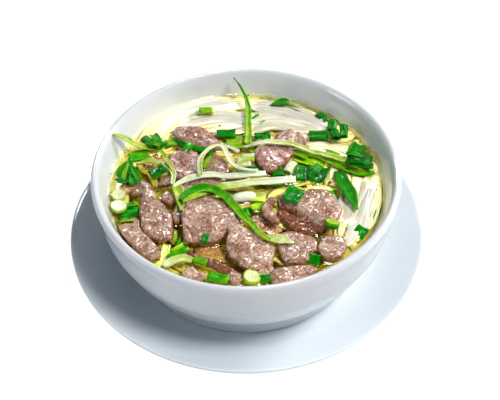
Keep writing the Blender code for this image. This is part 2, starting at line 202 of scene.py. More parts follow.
# %% Adding shader nodes
def new_material(name):
    material = bpy.data.materials.new(name)
    material.use_nodes = True
    tree = material.node_tree
    tree.nodes.clear()
    return material, tree


def feed(tree, socket, value):
    """Link a socket to a node's first output or to another socket, or set it to a value."""
    if isinstance(value, bpy.types.Node):
        value = value.outputs[0]
    if isinstance(value, bpy.types.NodeSocket):
        tree.links.new(value, socket)
    else:
        socket.default_value = value


def add(tree, kind, inputs=(), **settings):
    made = tree.nodes.new("ShaderNode" + kind)
    for key, value in settings.items():
        setattr(made, key, value)
    for key, value in dict(inputs).items():
        feed(tree, made.inputs[key], value)
    return made


def ramp(tree, factor, stops):
    """Colours along a factor, from (position, hex) stops."""
    made = add(tree, "ValToRGB", {"Fac": factor})
    elements = made.color_ramp.elements
    while len(elements) < len(stops):
        elements.new(0.5)
    for element, (position, value) in zip(elements, stops):
        element.position = position
        element.color = colour(value)
    return made.outputs["Color"]


def mix_colours(tree, factor, first, second, blend="MIX"):
    """Blend two colours, each a socket or a value; factor 0 gives the first."""
    mix = add(tree, "Mix", data_type="RGBA", blend_type=blend)
    for socket, value in zip([s for s in mix.inputs if s.enabled], (factor, first, second)):
        feed(tree, socket, value)
    return next(s for s in mix.outputs if s.type == "RGBA")


def surface(tree, shader, **inside):
    add(tree, "OutputMaterial", {"Surface": shader, **inside})


def from_mesh(tree, *names):
    """What the mesh says about each point, under the given names."""
    return [add(tree, "Attribute", attribute_name=name).outputs["Fac"] for name in names]


# %% [markdown]
# **Glazed porcelain.** Fired clay under a clear glass skin: almost white, a touch cool, with sharp
# reflections. The glaze is never quite level, so a very faint, wide bump bends the reflections a little.
# The saucer's glaze is a little bluer than the bowl's.

# %% Glazed porcelain
def glazed_porcelain(name, dark, light):
    material, tree = new_material(name)
    where = add(tree, "TexCoord").outputs["Object"]
    waves = add(tree, "TexNoise", {"Vector": where, "Scale": 1 / (18 * MM), "Detail": 1.0})
    clay = add(tree, "TexNoise", {"Vector": where, "Scale": 1 / (60 * MM), "Detail": 2.0})
    tone = ramp(tree, clay, [(0.3, dark), (0.7, light)])
    bump = add(tree, "Bump", {"Height": waves, "Distance": 0.1 * MM, "Strength": 0.12})
    shader = add(tree, "BsdfPrincipled", {
        "Base Color": tone, "Roughness": 0.12, "IOR": 1.5, "Coat Weight": 0.3, "Coat Roughness": 0.04,
        "Normal": bump})
    surface(tree, shader)
    return material


bowl_glaze = glazed_porcelain("glazed_porcelain_bowl", "#dbdfe2", "#e1e4e7")
saucer_glaze = glazed_porcelain("glazed_porcelain_saucer", "#dfe7ee", "#e6edf2")

# %% [markdown]
# ## The bowl and its saucer
# Both were turned on a wheel, so both are one section line spun round the axis. The line runs up the inside,
# over the rounded lip, down the outside and under the foot. The smooth stretches are curves; the foot's
# corners stay crisp.

# %% Turning on the wheel
TURN_STEPS = 180


def turned(section, steps=TURN_STEPS):
    """Spin a line of (radius, height) points into a closed body."""
    bm = bmesh.new()
    verts = [bm.verts.new((r, 0, z)) for r, z in section]
    edges = [bm.edges.new(pair) for pair in zip(verts, verts[1:])]
    bmesh.ops.spin(bm, geom=verts + edges, cent=(0, 0, 0), axis=(0, 0, 1), angle=tau, steps=steps,
                   use_merge=True)
    bmesh.ops.remove_doubles(bm, verts=bm.verts, dist=0.001)
    bmesh.ops.recalc_face_normals(bm, faces=bm.faces)
    return bm


def flow(points, step=1.5):
    """The smooth stretch of a section line."""
    return [(max(p.x, 0.0), p.y) for p in smooth_line([(r, z, 0) for r, z in points], step)]


# %% The bowl
INSIDE = [
    (0, 10), (20, 10.1), (36, 10.8), (58, 14), (74, 22), (84, 33), (90, 45), (93.4, 56), (95.6, 64),
    (99, 74)
]
LIP = [(100.2, 76.6), (101.4, 77.7), (102.8, 78), (104.2, 77.3), (104.9, 75.8), (105, 74.2)]
OUTSIDE = [(104.2, 70), (103.2, 64), (102.4, 56), (101.8, 50), (100.6, 44), (98.4, 38), (95.5, 30.6)]
LOWER = [(94.9, 29.4), (91, 22.2), (86.6, 15.4), (82.2, 9.2)]
FOOT = [
    (80.6, 7.8), (80.3, 7), (81.3, 1), (81.1, 0.4), (80.5, 0), (77.2, 0), (76.8, 0.3), (75.4, 4), (0, 4.6)
]
bowl_line = flow(INSIDE) + flow(LIP, 0.6) + flow(OUTSIDE) + flow(LOWER) + FOOT
bowl_bm = turned([(r, z + BOWL_BASE) for r, z in bowl_line])
finish_piece("bowl_porcelain", bowl_bm, bowl_glaze, ["bowl"])

# %% The saucer
DISH = [(0, 8), (40, 8), (82, 8), (92, 10.2), (104, 16.4), (116, 23.6), (123, 27.9)]
EDGE = [(124.4, 28.6), (125.3, 28.8), (125.9, 28.3), (125.9, 27.6)]
BACK = [(124, 26.2), (116, 20.2), (104, 12.7), (92, 6.9), (80, 4.2), (74.4, 3.7)]
RING = [(73.4, 3.2), (73, 0.4), (72.6, 0), (68.4, 0), (68, 0.4), (67.4, 3), (66.8, 3.3), (0, 3.3)]
saucer_bm = turned(flow(DISH) + flow(EDGE, 0.5) + flow(BACK) + RING)
finish_piece("saucer_porcelain", saucer_bm, saucer_glaze, ["saucer"])

# %% [markdown]
# Whatever floats must stay inside the bowl, so the inner wall's radius is asked for at any height.

# %% The inner wall
def bowl_inner_radius(height):
    """Radius of the bowl's inner wall at a height above its foot."""
    for (r0, z0), (r1, z1) in zip(INSIDE, INSIDE[1:]):
        if z0 <= height <= z1:
            return r0 + (r1 - r0) * (height - z0) / (z1 - z0)
    return INSIDE[-1][0]

# %% [markdown]
# ## Bending a grid round a line
# Noodles, leaf blades and cut tubes are all long things that bend. A flat grid has the right rows and
# columns already, so it is laid round a smooth line: its rows go along, its columns go around or across,
# and a section function says how far each column stands out to the side and up. Two attributes remember
# where a point came from, so that a finish can follow the piece.

# %% The swept grid
def new_bmesh():
    """A bmesh whose points remember their share along and around, and the tone of their piece."""
    bm = bmesh.new()
    for name in ("along", "around", "tone"):
        bm.verts.layers.float.new(name)
    return bm


def swept(bm, route, section, around=8, step=3.0, tube=True, tone=0.5):
    """Lay a grid along the route; section(t, a) gives the offsets to the side and up in millimetres."""
    line = smooth_line(route, step)
    last = len(line) - 1
    grid = bmesh.ops.create_grid(bm, x_segments=last, y_segments=around, size=0.5)["verts"]
    layers = [bm.verts.layers.float[name] for name in ("along", "around", "tone")]
    frames, side = [], Vector((1, 0, 0))
    for k, centre in enumerate(line):
        ahead = (line[min(k + 1, last)] - line[max(k - 1, 0)]).normalized()
        level_side = ahead.cross(UP)
        side = level_side.normalized() if level_side.length > 0.05 else side
        frames.append((centre, side, side.cross(ahead)))
    for v in grid:
        t, a = v.co.x + 0.5, v.co.y + 0.5
        centre, side, upward = frames[round(t * last)]
        out, lift = section(t, a)
        v.co = centre + side * out + upward * lift
        for layer, value in zip(layers, (t, a, tone)):
            v[layer] = value
    if tube:
        bmesh.ops.remove_doubles(bm, verts=grid, dist=0.002)
    return [v for v in grid if v.is_valid]


def soften(bm):
    bmesh.ops.smooth_vert(bm, verts=bm.verts, factor=0.5, use_axis_x=True, use_axis_y=True, use_axis_z=True)


def close_and_face_out(bm):
    """Fill what is open and turn every face outwards."""
    open_edges = [e for e in bm.edges if e.is_boundary]
    if open_edges:
        bmesh.ops.holes_fill(bm, edges=open_edges, sides=0)
    bmesh.ops.recalc_face_normals(bm, faces=bm.faces)


# %% [markdown]
# ## The noodles
# Flat rice noodles, about six millimetres wide. They lie in hanks: one sweeps along the back wall, one
# hangs down the right side, and the rest is loose below the surface. Each hank is one guide line, and its
# noodles run beside it with a small wander of their own, as they do when they are tipped into a bowl.

# %% One noodle
NOODLE_WIDE = 6.2
NOODLE_THICK = 1.5
SINK = 0.5  # how much a noodle dips and rises


def noodle_section(wide, thick, lean):
    """A flat section with round edges, closed to a point at both ends and leaning a little."""
    def section(t, a):
        end = min(1.0, 6 * t + 0.001, 6 * (1 - t) + 0.001) ** 0.5
        angle = tau * a
        c, s = cos(angle), sin(angle)
        out = wide / 2 * end * copysign(abs(c) ** 0.7, c)
        up = thick / 2 * end * copysign(abs(s) ** 0.7, s)
        return out * cos(lean) - up * sin(lean), out * sin(lean) + up * cos(lean)
    return section


def wander(point, seed, reach):
    """A smooth sideways drift that is different for each seed."""
    at = Vector((point.x * 0.035, point.y * 0.035, seed * 7.3))
    return Vector((noise.noise(at), noise.noise(at + Vector((31, 17, 5))), 0)) * reach


def hank(bm, guide, count, spread, stray=4.0, lift=0.0, step=3.4):
    """Noodles side by side along a guide of (x, y, height over the broth)."""
    line = smooth_line(guide, 6)
    for n in range(count):
        share = (n + 0.5) / count - 0.5 + chance.uniform(-0.06, 0.06)
        start = chance.randint(0, max(0, len(line) // 6))
        stop = len(line) - chance.randint(0, max(0, len(line) // 6))
        pinch = chance.uniform(0.75, 1.25)
        route = []
        for k in range(start, stop):
            ahead = (line[min(k + 1, len(line) - 1)] - line[max(k - 1, 0)]).normalized()
            side = ahead.cross(UP).normalized()
            t = k / (len(line) - 1)
            place = line[k] + side * share * spread * pinch + wander(line[k], n + 10 * count, stray)
            wave = noise.noise(Vector((place.x * 0.05, place.y * 0.05, n * 3.1))) * SINK
            place.z = LEVEL + lift + line[k].z + wave
            route.append(keep_inside(place))
        if len(route) > 2:
            swept(bm, route, noodle_section(NOODLE_WIDE * chance.uniform(0.85, 1.12), NOODLE_THICK,
                                            chance.uniform(-0.14, 0.14)), step=step, tone=chance.random())


def keep_inside(place, clear=2.4):
    """Pull a point back from the bowl's wall."""
    limit = bowl_inner_radius(min(place.z - BOWL_BASE, 73)) - clear
    reach = hypot(place.x, place.y)
    if reach > limit:
        place = Vector((place.x * limit / reach, place.y * limit / reach, place.z))
    return place


# %% The hanks that show
HANKS = [  # guide of (x, y, height over the broth), noodles, spread across
    ([(-74, 40, -3), (-66, 56, 0), (-52, 70, 1), (-34, 79, 1.4), (-12, 84, 1.2), (10, 84, 0.6)], 4, 15),
    ([(-60, 46, -3), (-50, 58, 0.6), (-34, 66, 1.6), (-14, 68, 2.0), (6, 64, 2.2), (18, 58, 1)], 4, 15),
    ([(-8, 76, 0.4), (8, 77, 1.8), (28, 73, 2.2), (46, 63, 2.0), (58, 54, 1.0), (66, 44, -2)], 5, 16),
    ([(-6, 52, -1), (6, 57, 1.6), (20, 61, 2.6), (38, 56, 2.6), (52, 52, 1.4), (62, 48, -1)], 4, 13),
    ([(-30, 54, 0), (-14, 56, 1.0), (0, 58, 1.2), (14, 52, 0.6)], 3, 10),
    ([(34, 38, -1), (46, 39, 0.6), (60, 36, 1.0), (74, 30, 0.4), (84, 22, -2)], 3, 9),
    ([(84, 18, -4), (84, 6, 0), (81, -8, 1.8), (76, -24, 2.0), (71, -38, 1.4), (66, -50, 0)], 4, 15),
    ([(76, 16, -4), (76, 4, 0), (73, -10, 1.2), (68, -24, 1.4), (63, -36, 0.8), (60, -48, -1.5)], 4, 13),
    ([(88, 6, -3), (89, -6, 0), (86, -20, 1), (81, -33, 0.6), (75, -44, -0.6)], 2, 7),
    ([(75, -30, 0.4), (71, -42, 1.6), (67, -52, 1.6), (62, -55, 0.6), (60, -50, -0.8)], 2, 6),
]
WALL_HANKS = [  # the same, sunk at the wall and across the middle, where only their paleness shows
    ([(-66, 56, -3), (-80, 38, -4), (-88, 18, -5), (-90, -4, -6), (-86, -26, -6), (-76, -46, -7)], 5, 13),
    ([(88, 20, -4), (90, 0, -4), (87, -22, -4), (78, -42, -5), (62, -62, -7), (40, -78, -8)], 4, 10),
    ([(-70, -54, -8), (-50, -72, -8), (-24, -84, -8), (4, -88, -8), (30, -83, -8)], 5, 12),
    ([(-74, 20, -6), (-70, 0, -9), (-62, -24, -10), (-46, -50, -10), (-20, -66, -9), (8, -70, -9)], 6, 24),
    ([(40, -20, -8), (20, -6, -7), (-6, -4, -7), (-30, -8, -8), (-52, 10, -8), (-66, 30, -7)], 6, 26),
    ([(60, 20, -5), (40, 14, -5), (14, 20, -6), (-12, 30, -7), (-40, 34, -7), (-62, 40, -5)], 6, 24),
]
TOP_LIFT = -1.3  # how the hanks that show, and the looser ones right under them, lie against their guides
UNDER_LIFT = -2.8

noodle_bm = new_bmesh()
for guide, count, spread in HANKS:
    hank(noodle_bm, guide, count, spread, lift=TOP_LIFT)
for guide, count, spread in HANKS[:-1]:
    hank(noodle_bm, guide, count - 1, spread * 1.2, lift=UNDER_LIFT, stray=6)
for guide, count, spread in WALL_HANKS:
    hank(noodle_bm, guide, count, spread, stray=9, step=5)

# %% [markdown]
# Below the surface the noodles lie in loose loops. Only their pale shapes come through the broth, so fewer
# and rougher ones are enough, each a short arc with a heading of its own.

# %% The sunk loops
SUNK_PATCHES = [  # x, y, reach, height over the broth, noodles
    (48, -3, 7, -2.2, 4), (62, 6, 8, -2.0, 5), (10, -22, 7, -2.6, 4), (52, 4, 16, -4.5, 9),
    (8, -24, 12, -5, 7), (-84, 30, 12, -5, 6), (20, 36, 18, -7, 8), (-30, 60, 20, -4, 8),
    (72, -14, 18, -3.5, 9), (0, 62, 26, -3.5, 9), (50, 50, 18, -4, 8)
]
for x, y, reach, height, count in SUNK_PATCHES:
    for _ in range(count):
        turn = chance.uniform(0, tau)
        bend = chance.uniform(0.02, 0.05)
        at = Vector((x, y, 0)) + Vector((chance.gauss(0, 0.35), chance.gauss(0, 0.35), 0)) * reach
        route = []
        for k in range(6):
            way = turn + (k - 2.5) * bend * 9
            at = at + Vector((cos(way), sin(way), 0)) * 9
            route.append(keep_inside(Vector((at.x, at.y, LEVEL + height + chance.uniform(-2.5, 1.5)))))
        section = noodle_section(NOODLE_WIDE, NOODLE_THICK, chance.uniform(-0.6, 0.6))
        swept(noodle_bm, route, section, step=4.5, around=6, tone=chance.random())
close_and_face_out(noodle_bm)

# %% [markdown]
# **Cooked rice noodle.** Steamed rice starch, white and slightly see-through, with a wet skin. Light goes
# a millimetre or two into it, so thin edges glow. Each noodle has its own tone, with faint clouds in it.

# %% Cooked rice noodle
def rice_noodle():
    material, tree = new_material("cooked_rice_noodle")
    tone, = from_mesh(tree, "tone")
    where = add(tree, "TexCoord").outputs["Object"]
    cloud = add(tree, "TexNoise", {"Vector": where, "Scale": 1 / (7 * MM), "Detail": 3.0})
    mixed = add(tree, "Math", {0: tone, 1: cloud}, operation="ADD")
    half = add(tree, "Math", {0: mixed, 1: 0.5}, operation="MULTIPLY")
    tint = ramp(tree, half, [(0.25, "#e9dfb6"), (0.5, "#f1ead0"), (0.75, "#f7f2e2")])
    bump = add(tree, "Bump", {"Height": cloud, "Distance": 0.4 * MM, "Strength": 0.4})
    shader = add(tree, "BsdfPrincipled", {
        "Base Color": tint, "Roughness": 0.3, "IOR": 1.4, "Coat Weight": 0.5, "Coat Roughness": 0.08,
        "Coat IOR": 1.4, "Subsurface Weight": 0.25,
        "Subsurface Radius": (1.0, 0.9, 0.6), "Subsurface Scale": 2.0 * MM, "Normal": bump})
    surface(tree, shader)
    return material


noodle_finish = rice_noodle()
finish_piece("noodles_loose", noodle_bm, noodle_finish, ["noodles"])

# %% [markdown]
# What holds the noodles up is the rest of the heap. It is only a dim pale body far down in the broth, so
# it is one lump: a ball pressed to the shape of the bowl, lower than the noodles that show.

# %% The heap under them
HEAP_RADIUS = 90
HEAP_DOWN = 15  # how far the heap stays under the broth where no hank lies on it
HEAP_RISE = 11.5
HEAP_WAIST = 19
HEAP_DEEP = 28


def heap_top(x, y):
    reach = hypot(x, y)
    back = swell(30, 62, reach) * swell(10, 56, y)
    beside = swell(34, 66, x) * swell(-76, -46, y)
    return LEVEL - HEAP_DOWN + HEAP_RISE * max(back, beside)


core_bm = new_bmesh()
bmesh.ops.create_uvsphere(core_bm, u_segments=64, v_segments=40, radius=1)
for v in core_bm.verts:
    turn, out = atan2(v.co.y, v.co.x), min(1.0, v.co.xy.length)
    if v.co.z > 0:
        x, y = HEAP_RADIUS * out * cos(turn), HEAP_RADIUS * out * sin(turn)
        bumps = 1.6 * noise.noise(Vector((x * 0.11, y * 0.11, 3)))
        v.co = x, y, heap_top(x, y) + bumps - 2 * swell(0.85, 1.0, out)
    else:
        share = out * (1 - 0.28 * swell(0.0, 1.0, -v.co.z))
        reach = HEAP_RADIUS * share
        v.co = reach * cos(turn), reach * sin(turn), LEVEL - HEAP_WAIST - HEAP_DEEP * swell(0, 1, -v.co.z)
soften(core_bm)
finish_piece("noodle_heap", core_bm, noodle_finish)

# %% [markdown]
# ## The beef
# Thin slices of simmered brisket. A slice is a slab a few millimetres thick with soft edges, a torn
# outline, and a surface that shows the cut fibres: pits, cracks and short ridges. The plain solid gives
# each slice its place. A copy of it is rebuilt from small even cells, smoothed until the facets are gone,
# and then roughened at several sizes, because a smooth slab reads as clay.

# %% Even cells over a solid
CELL = 1.2
SMOOTH_ROUNDS = 3


def even_cells(name):
    """A copy of a solid, rebuilt from even cells and smoothed, as a bmesh in millimetres."""
    mesh = frame["nodes"][name].data.copy()
    bm = bmesh.new()
    bm.from_mesh(mesh)
    bmesh.ops.scale(bm, vec=(1 / MM, 1 / MM, 1 / MM), verts=bm.verts)
    bmesh.ops.remove_doubles(bm, verts=bm.verts, dist=0.02)
    bm.to_mesh(mesh)
    bm.free()
    helper = bpy.data.objects.new("cells", mesh)
    bpy.context.scene.collection.objects.link(helper)
    cells = helper.modifiers.new("even cells", "REMESH")
    cells.mode = "VOXEL"
    cells.voxel_size = CELL
    rebuilt = bpy.data.meshes.new_from_object(helper.evaluated_get(bpy.context.evaluated_depsgraph_get()))
    bm = bmesh.new()
    bm.from_mesh(rebuilt)
    bpy.data.objects.remove(helper)
    bpy.data.meshes.remove(mesh)
    bpy.data.meshes.remove(rebuilt)
    for _ in range(SMOOTH_ROUNDS):
        soften(bm)
    return bm


# %% [markdown]
# Meat is rough at every size. The outline wavers by a millimetre over a centimetre, fibre bundles make
# ridges two or three millimetres apart that all run one way, and single fibres leave pits under a
# millimetre. The ridges follow a direction of their own in each slice.

# %% Roughness of cut meat
SHRUNK = 0.4  # what the smoothing took off, given back
SETTLED = 0.8  # how far the slices sink, so that the broth laps over their edges
CREASE = 0.8  # depth of the long soft folds
RIDGE = 0.10  # height of the ridges that the fibres make


def ragged(point, seed, size, depth):
    at = point / size + Vector((seed * 3.7, seed * 1.9, seed * 5.3))
    return noise.noise_vector(at) * depth


def fibres(point, seed, turn):
    """Ridges along a direction: stretched noise, folded so that the valleys are narrow."""
    along = point.x * cos(turn) + point.y * sin(turn)
    across = point.y * cos(turn) - point.x * sin(turn)
    value = noise.noise(Vector((along / 7.0, across / 2.4, point.z / 4.0 + seed * 9.1)))
    fine = noise.noise(Vector((along / 2.2, across / 1.1, point.z / 2.0 - seed * 4.3)))
    return 1 - 2.2 * abs(value) + 0.5 * fine


def meat(name, seed, turn, redness, bend=None, depth=1.0, browned=0.0):
    """One slice from its solid, with its own grain and tone."""
    bm = even_cells(name)
    brown = bm.verts.layers.float.new("brown")
    for v in bm.verts:
        v[brown] = browned
    if bend:
        bend(bm)
    bmesh.ops.subdivide_edges(bm, edges=bm.edges, cuts=1, use_grid_fill=True, smooth=1.0)
    bm.normal_update()
    for v in bm.verts:
        v.co += v.normal * SHRUNK * depth
        v.co.z -= SETTLED
    roughen(bm, seed, turn, redness, depth)
    return bm


def creases(point, seed, turn):
    """A few long soft folds across the grain, from -1 in a fold to 0 between them."""
    across = point.x * cos(turn) + point.y * sin(turn)
    along = point.y * cos(turn) - point.x * sin(turn)
    value = noise.noise(Vector((along / 24.0, across / 9.0, seed * 5.7)))
    return -max(0.0, 1 - 7 * abs(value))


def roughen(bm, seed, turn, redness, depth=1.0):
    """The sizes of roughness, and what the finish needs to know of each point."""
    for v in bm.verts:
        v.co += ragged(v.co, seed, 19.0, 1.3 * depth) + ragged(v.co, seed + 3, 7.0, 1.0 * depth)
        v.co.z += CREASE * depth * creases(v.co, seed, turn)
    bm.normal_update()
    layers = {key: bm.verts.layers.float.new(key) for key in ("rim", "valley_shade_mask", "tone")}
    brown = bm.verts.layers.float.get("brown")
    for v in bm.verts:
        soaked = 0.6 * swell(0, 2.6, LEVEL + 2.2 - v.co.z)
        v[layers["rim"]] = max(swell(0.12, 0.75, 1 - abs(v.normal.z)), soaked, v[brown] if brown else 0.0)
        relief = fibres(v.co, seed, turn)
        # how high a point stands on the fibre ridges; the finish uses it to paint shade into the low valleys
        v[layers["valley_shade_mask"]] = swell(0.1, 0.95, relief)
        v[layers["tone"]] = redness
        v.co += v.normal * (RIDGE * depth * (relief - 0.6)) + ragged(v.co, seed + 5, 4.0, 0.4 * depth)
        v.co += ragged(v.co, seed + 9, 1.6, 0.06 * depth)
    bmesh.ops.recalc_face_normals(bm, faces=bm.faces)


# %% [markdown]
# ** Simmered beef, cut across the grain.** Pinkish grey where it was sliced, browner at the rim where the
# broth cooked it, with small darker dots scattered over it, and painted shade in the narrow valleys between
# the fibre ridges. It is wet, so a thin clear film lies over a rough base, and that film is what sparkles.

# %% Simmered beef
def simmered_beef():
    material, tree = new_material("simmered_beef")
    where = add(tree, "TexCoord").outputs["Object"]
    rim, valley_shade_mask, tone, outside = from_mesh(tree, "rim", "valley_shade_mask", "tone", "brown")
    patches = add(tree, "TexNoise", {
        "Vector": where, "Scale": 1 / (8 * MM), "Detail": 4.0, "Roughness": 0.65})
    grain = add(tree, "TexNoise", {
        "Vector": where, "Scale": 1 / (1.3 * MM), "Detail": 3.0, "Roughness": 0.6})
    dots = add(tree, "TexVoronoi", {"Vector": where, "Scale": 1 / (2.8 * MM), "Randomness": 1.0})
    holes = add(tree, "MapRange", {"Value": dots, "From Min": 0.06, "From Max": 0.22})
    flesh = ramp(tree, grain, [(0.27, "#8a644c"), (0.41, "#be9a80"), (0.56, "#dabfa8"), (0.72, "#f2e4d6")])
    red = ramp(tree, grain, [(0.30, "#74332c"), (0.42, "#ae7a6e"), (0.55, "#d0aa9e"), (0.72, "#ecd8d0")])
    brown = ramp(tree, grain, [(0.32, "#6e3517"), (0.48, "#ad6a3c"), (0.66, "#d99f6b")])
    bark = ramp(tree, grain, [(0.30, "#5e2f1c"), (0.50, "#98583a"), (0.70, "#c48a66")])
    rim_patch = add(tree, "Math", {0: rim, 1: patches}, operation="MULTIPLY")
    rim_share = add(tree, "MapRange", {
        "Value": rim_patch, "From Min": 0.12, "From Max": 0.5, "To Max": 0.85})
    with_rim = mix_colours(tree, rim_share, mix_colours(tree, tone, flesh, red), brown)
    with_bark = mix_colours(tree, outside, with_rim, bark)
    dull = ramp(tree, patches, [(0.40, "#c4a084"), (0.58, "#ffffff")])
    patched = mix_colours(tree, 0.7, with_bark, dull, "MULTIPLY")
    # painted shade: the valleys between the fibre ridges are darkened, the ridges stay light
    shade = ramp(tree, valley_shade_mask, [(0.0, "#b09488"), (0.35, "#e2d6d0"), (0.7, "#ffffff")])
    with_painted_valley_shade = mix_colours(tree, 0.5, patched, shade, "MULTIPLY")
    dotted = mix_colours(tree, holes, colour("#6f4d48"), with_painted_valley_shade)
    rough = add(tree, "MapRange", {
        "Value": grain, "From Min": 0.3, "From Max": 0.7, "To Min": 0.22, "To Max": 0.5})
    fine_bump = add(tree, "Bump", {"Height": grain, "Distance": 0.35 * MM, "Strength": 0.6})
    bump = add(tree, "Bump", {"Height": holes, "Distance": 0.35 * MM, "Strength": 0.6, "Normal": fine_bump})
    film = add(tree, "TexNoise", {"Vector": where, "Scale": 1 / (5 * MM), "Detail": 1.0, "Roughness": 0.5})
    film_bump = add(tree, "Bump", {"Height": film, "Distance": 1.1 * MM, "Strength": 1.0})
    shader = add(tree, "BsdfPrincipled", {
        "Base Color": dotted, "Roughness": rough, "IOR": 1.42, "Specular IOR Level": 0.15,
        "Coat Weight": 1.0, "Coat Roughness": 0.07, "Coat IOR": 1.5, "Coat Normal": film_bump,
        "Subsurface Weight": 0.12, "Subsurface Radius": (1.0, 0.4, 0.3), "Subsurface Scale": 1.2 * MM,
        "Normal": bump})
    surface(tree, shader)
    return material


beef_finish = simmered_beef()

# %% [markdown]
# Most slices only differ in the way their grain runs and in how pink they are. The big one at the right
# bends down along its front left side, so that its cooked brown outside shows.

# %% The folds
def fold_down(edge_start, edge_end, reach, drop):
    """Bends what lies near an edge line down, the more the nearer, and browns the bent part."""
    a, b = Vector(edge_start), Vector(edge_end)
    inward = Vector((a.y - b.y, b.x - a.x)).normalized()

    def bend(bm):
        brown = bm.verts.layers.float["brown"]
        for v in bm.verts:
            near = 1 - swell(0, reach, (v.co.xy - a).dot(inward))
            v.co.z -= drop * near
            v.co.xy += inward * 0.25 * drop * near
            v[brown] = max(v[brown], swell(0.2, 0.6, near))
    return bend


GRAIN = {  # direction of the grain in degrees, redness from 0 to 1
    "beef_back_left": (20, 0.45), "beef_back_right": (-20, 0.25), "beef_pocket": (60, 0.1),
    "beef_far_left": (30, 0.1), "beef_under_strands": (5, 0.5), "beef_centre_left": (70, 0.95),
    "beef_centre": (40, 0.6), "beef_right_of_leaf": (50, 0.95), "beef_fold_left": (20, 0.3),
    "beef_crumple": (60, 0.2), "beef_beside_large": (80, 0.15), "beef_long_left": (75, 0.3),
    "beef_front_left": (-45, 0.3), "beef_large": (30, 0.35), "beef_small_pink": (-20, 0.45),
    "beef_front": (50, 0.2), "beef_broad_front": (-10, 0.25), "beef_at_wall": (5, 0.35),
    "beef_round": (60, 0.2), "beef_front_small": (0, 0.2), "beef_fold_under": (-40, 0.4),
    "beef_folded": (-35, 0.35), "beef_crimped_edge": (-35, 0.1), "beef_curled_lobe": (70, 0.3),
}
BENDS = {"beef_folded": fold_down((20, -25), (47, -47), 8.0, 4.5)}
BROWNED = {"beef_crimped_edge": 0.9, "beef_curled_lobe": 0.35, "beef_fold_under": 0.9}
for seed, name in enumerate(BEEF_SOLIDS):
    heading, redness = GRAIN[name]
    slim = name in ("beef_crimped_edge", "beef_curled_lobe")
    slice_bm = meat(name, seed + 1, radians(heading), redness, BENDS.get(name), 0.8 if slim else 1.0,
                    BROWNED.get(name, 0.0))
    finish_piece(name.replace("beef", "slice"), slice_bm, beef_finish, [name])

# %% [markdown]
# ## The spring onion
# A spring onion leaf is a hollow tube. Cut across it gives short tubes, which the knife presses flat. Slit
# along, it gives long channelled blades that run from white through yellow to deep green. So three shapes
# do: a tube, a cupped sheet, and a slice of the white stalk. The first two start as the swept grid and get
# their wall from solidify, which keeps the hollow ends open. The slice is a short solid post.

# %% [markdown]
# **Wet onion leaf.** Thin, waxy and wet. Its colour is one ramp from deep green to white, and every point of
# every piece says where it stands on it. Veins run along the leaf, so the streaks follow its own two
# coordinates and not the room's.

# %% Wet onion leaf
VEINS_ALONG = 2.5
VEINS_AROUND = 26.0


def onion_leaf():
    material, tree = new_material("wet_onion_leaf")
    along, around, tone = from_mesh(tree, "along", "around", "tone")
    lengthways = add(tree, "Math", {0: along, 1: VEINS_ALONG}, operation="MULTIPLY")
    crossways = add(tree, "Math", {0: around, 1: VEINS_AROUND}, operation="MULTIPLY")
    leaf_place = add(tree, "CombineXYZ", {"X": lengthways, "Y": crossways, "Z": tone})
    veins = add(tree, "TexNoise", {"Vector": leaf_place, "Scale": 1.0, "Detail": 2.0})
    where = add(tree, "TexCoord").outputs["Object"]
    blotch = add(tree, "TexNoise", {"Vector": where, "Scale": 1 / (5 * MM), "Detail": 3.0})
    place = tone
    for pattern, darker, paler in ((veins, -0.07, 0.09), (blotch, -0.08, 0.11)):
        shift = add(tree, "MapRange", {
            "Value": pattern, "From Min": 0.3, "From Max": 0.7, "To Min": darker, "To Max": paler})
        place = add(tree, "Math", {0: place, 1: shift}, operation="ADD")
    tint = ramp(tree, place, [
        (0.0, "#003c04"), (0.16, "#008004"), (0.34, "#289a02"), (0.50, "#7cb80a"), (0.64, "#b0c83a"),
        (0.80, "#dde3a8"), (1.0, "#f4f6e6")])
    bump = add(tree, "Bump", {"Height": veins, "Distance": 0.25 * MM, "Strength": 0.5})
    film = add(tree, "TexNoise", {"Vector": where, "Scale": 1 / (4.5 * MM), "Detail": 1.0})
    film_bump = add(tree, "Bump", {"Height": film, "Distance": 1.3 * MM, "Strength": 1.0})
    shader = add(tree, "BsdfPrincipled", {
        "Base Color": tint, "Roughness": 0.4, "IOR": 1.36, "Specular IOR Level": 0.05, "Coat Weight": 0.35,
        "Coat Roughness": 0.06, "Coat IOR": 1.45, "Coat Normal": film_bump, "Subsurface Weight": 0.15,
        "Subsurface Radius": (0.6, 1.0, 0.2), "Subsurface Scale": 1.0 * MM, "Normal": bump})
    surface(tree, shader)
    return material


leaf_finish = onion_leaf()

# %% Tube, blade and stalk slice
WALL = 0.55  # thickness of a cut leaf, of a long blade and of a fleck
BLADE_WALL = 0.8
FLECK_WALL = 0.25
RUFFLE = 0.55


def straight(x, y, z, long, heading, pitch=0.0, bow=0.0):
    """Points of a short line through a place, turned and tilted in degrees, bowed upwards in the middle."""
    turn, tilt = radians(heading), radians(pitch)
    ahead = Vector((cos(turn) * cos(tilt), sin(turn) * cos(tilt), sin(tilt)))
    middle, quarters = Vector((x, y, z)), (-0.5, -0.25, 0, 0.25, 0.5)
    return [middle + ahead * long * s + UP * bow * (1 - 4 * s * s) for s in quarters]


def tube(bm, x, y, z, long, wide, tall, heading, pitch=0.0, bow=0.0, tone=0.12, fade=0.0):
    """A cut length of hollow leaf, pressed flat; fade makes its far end paler."""
    def section(t, a):
        angle = tau * a
        flare = 1 + 0.10 * abs(2 * t - 1) ** 3
        out, up = cos(angle) * wide / 2, sin(angle) * tall / 2
        return out * flare, up * flare
    line = straight(x, y, z, long, heading, pitch, bow)
    points = swept(bm, line, section, around=14, step=max(1.2, long / 7), tone=tone)
    shape_tone(bm, points, tone, fade)


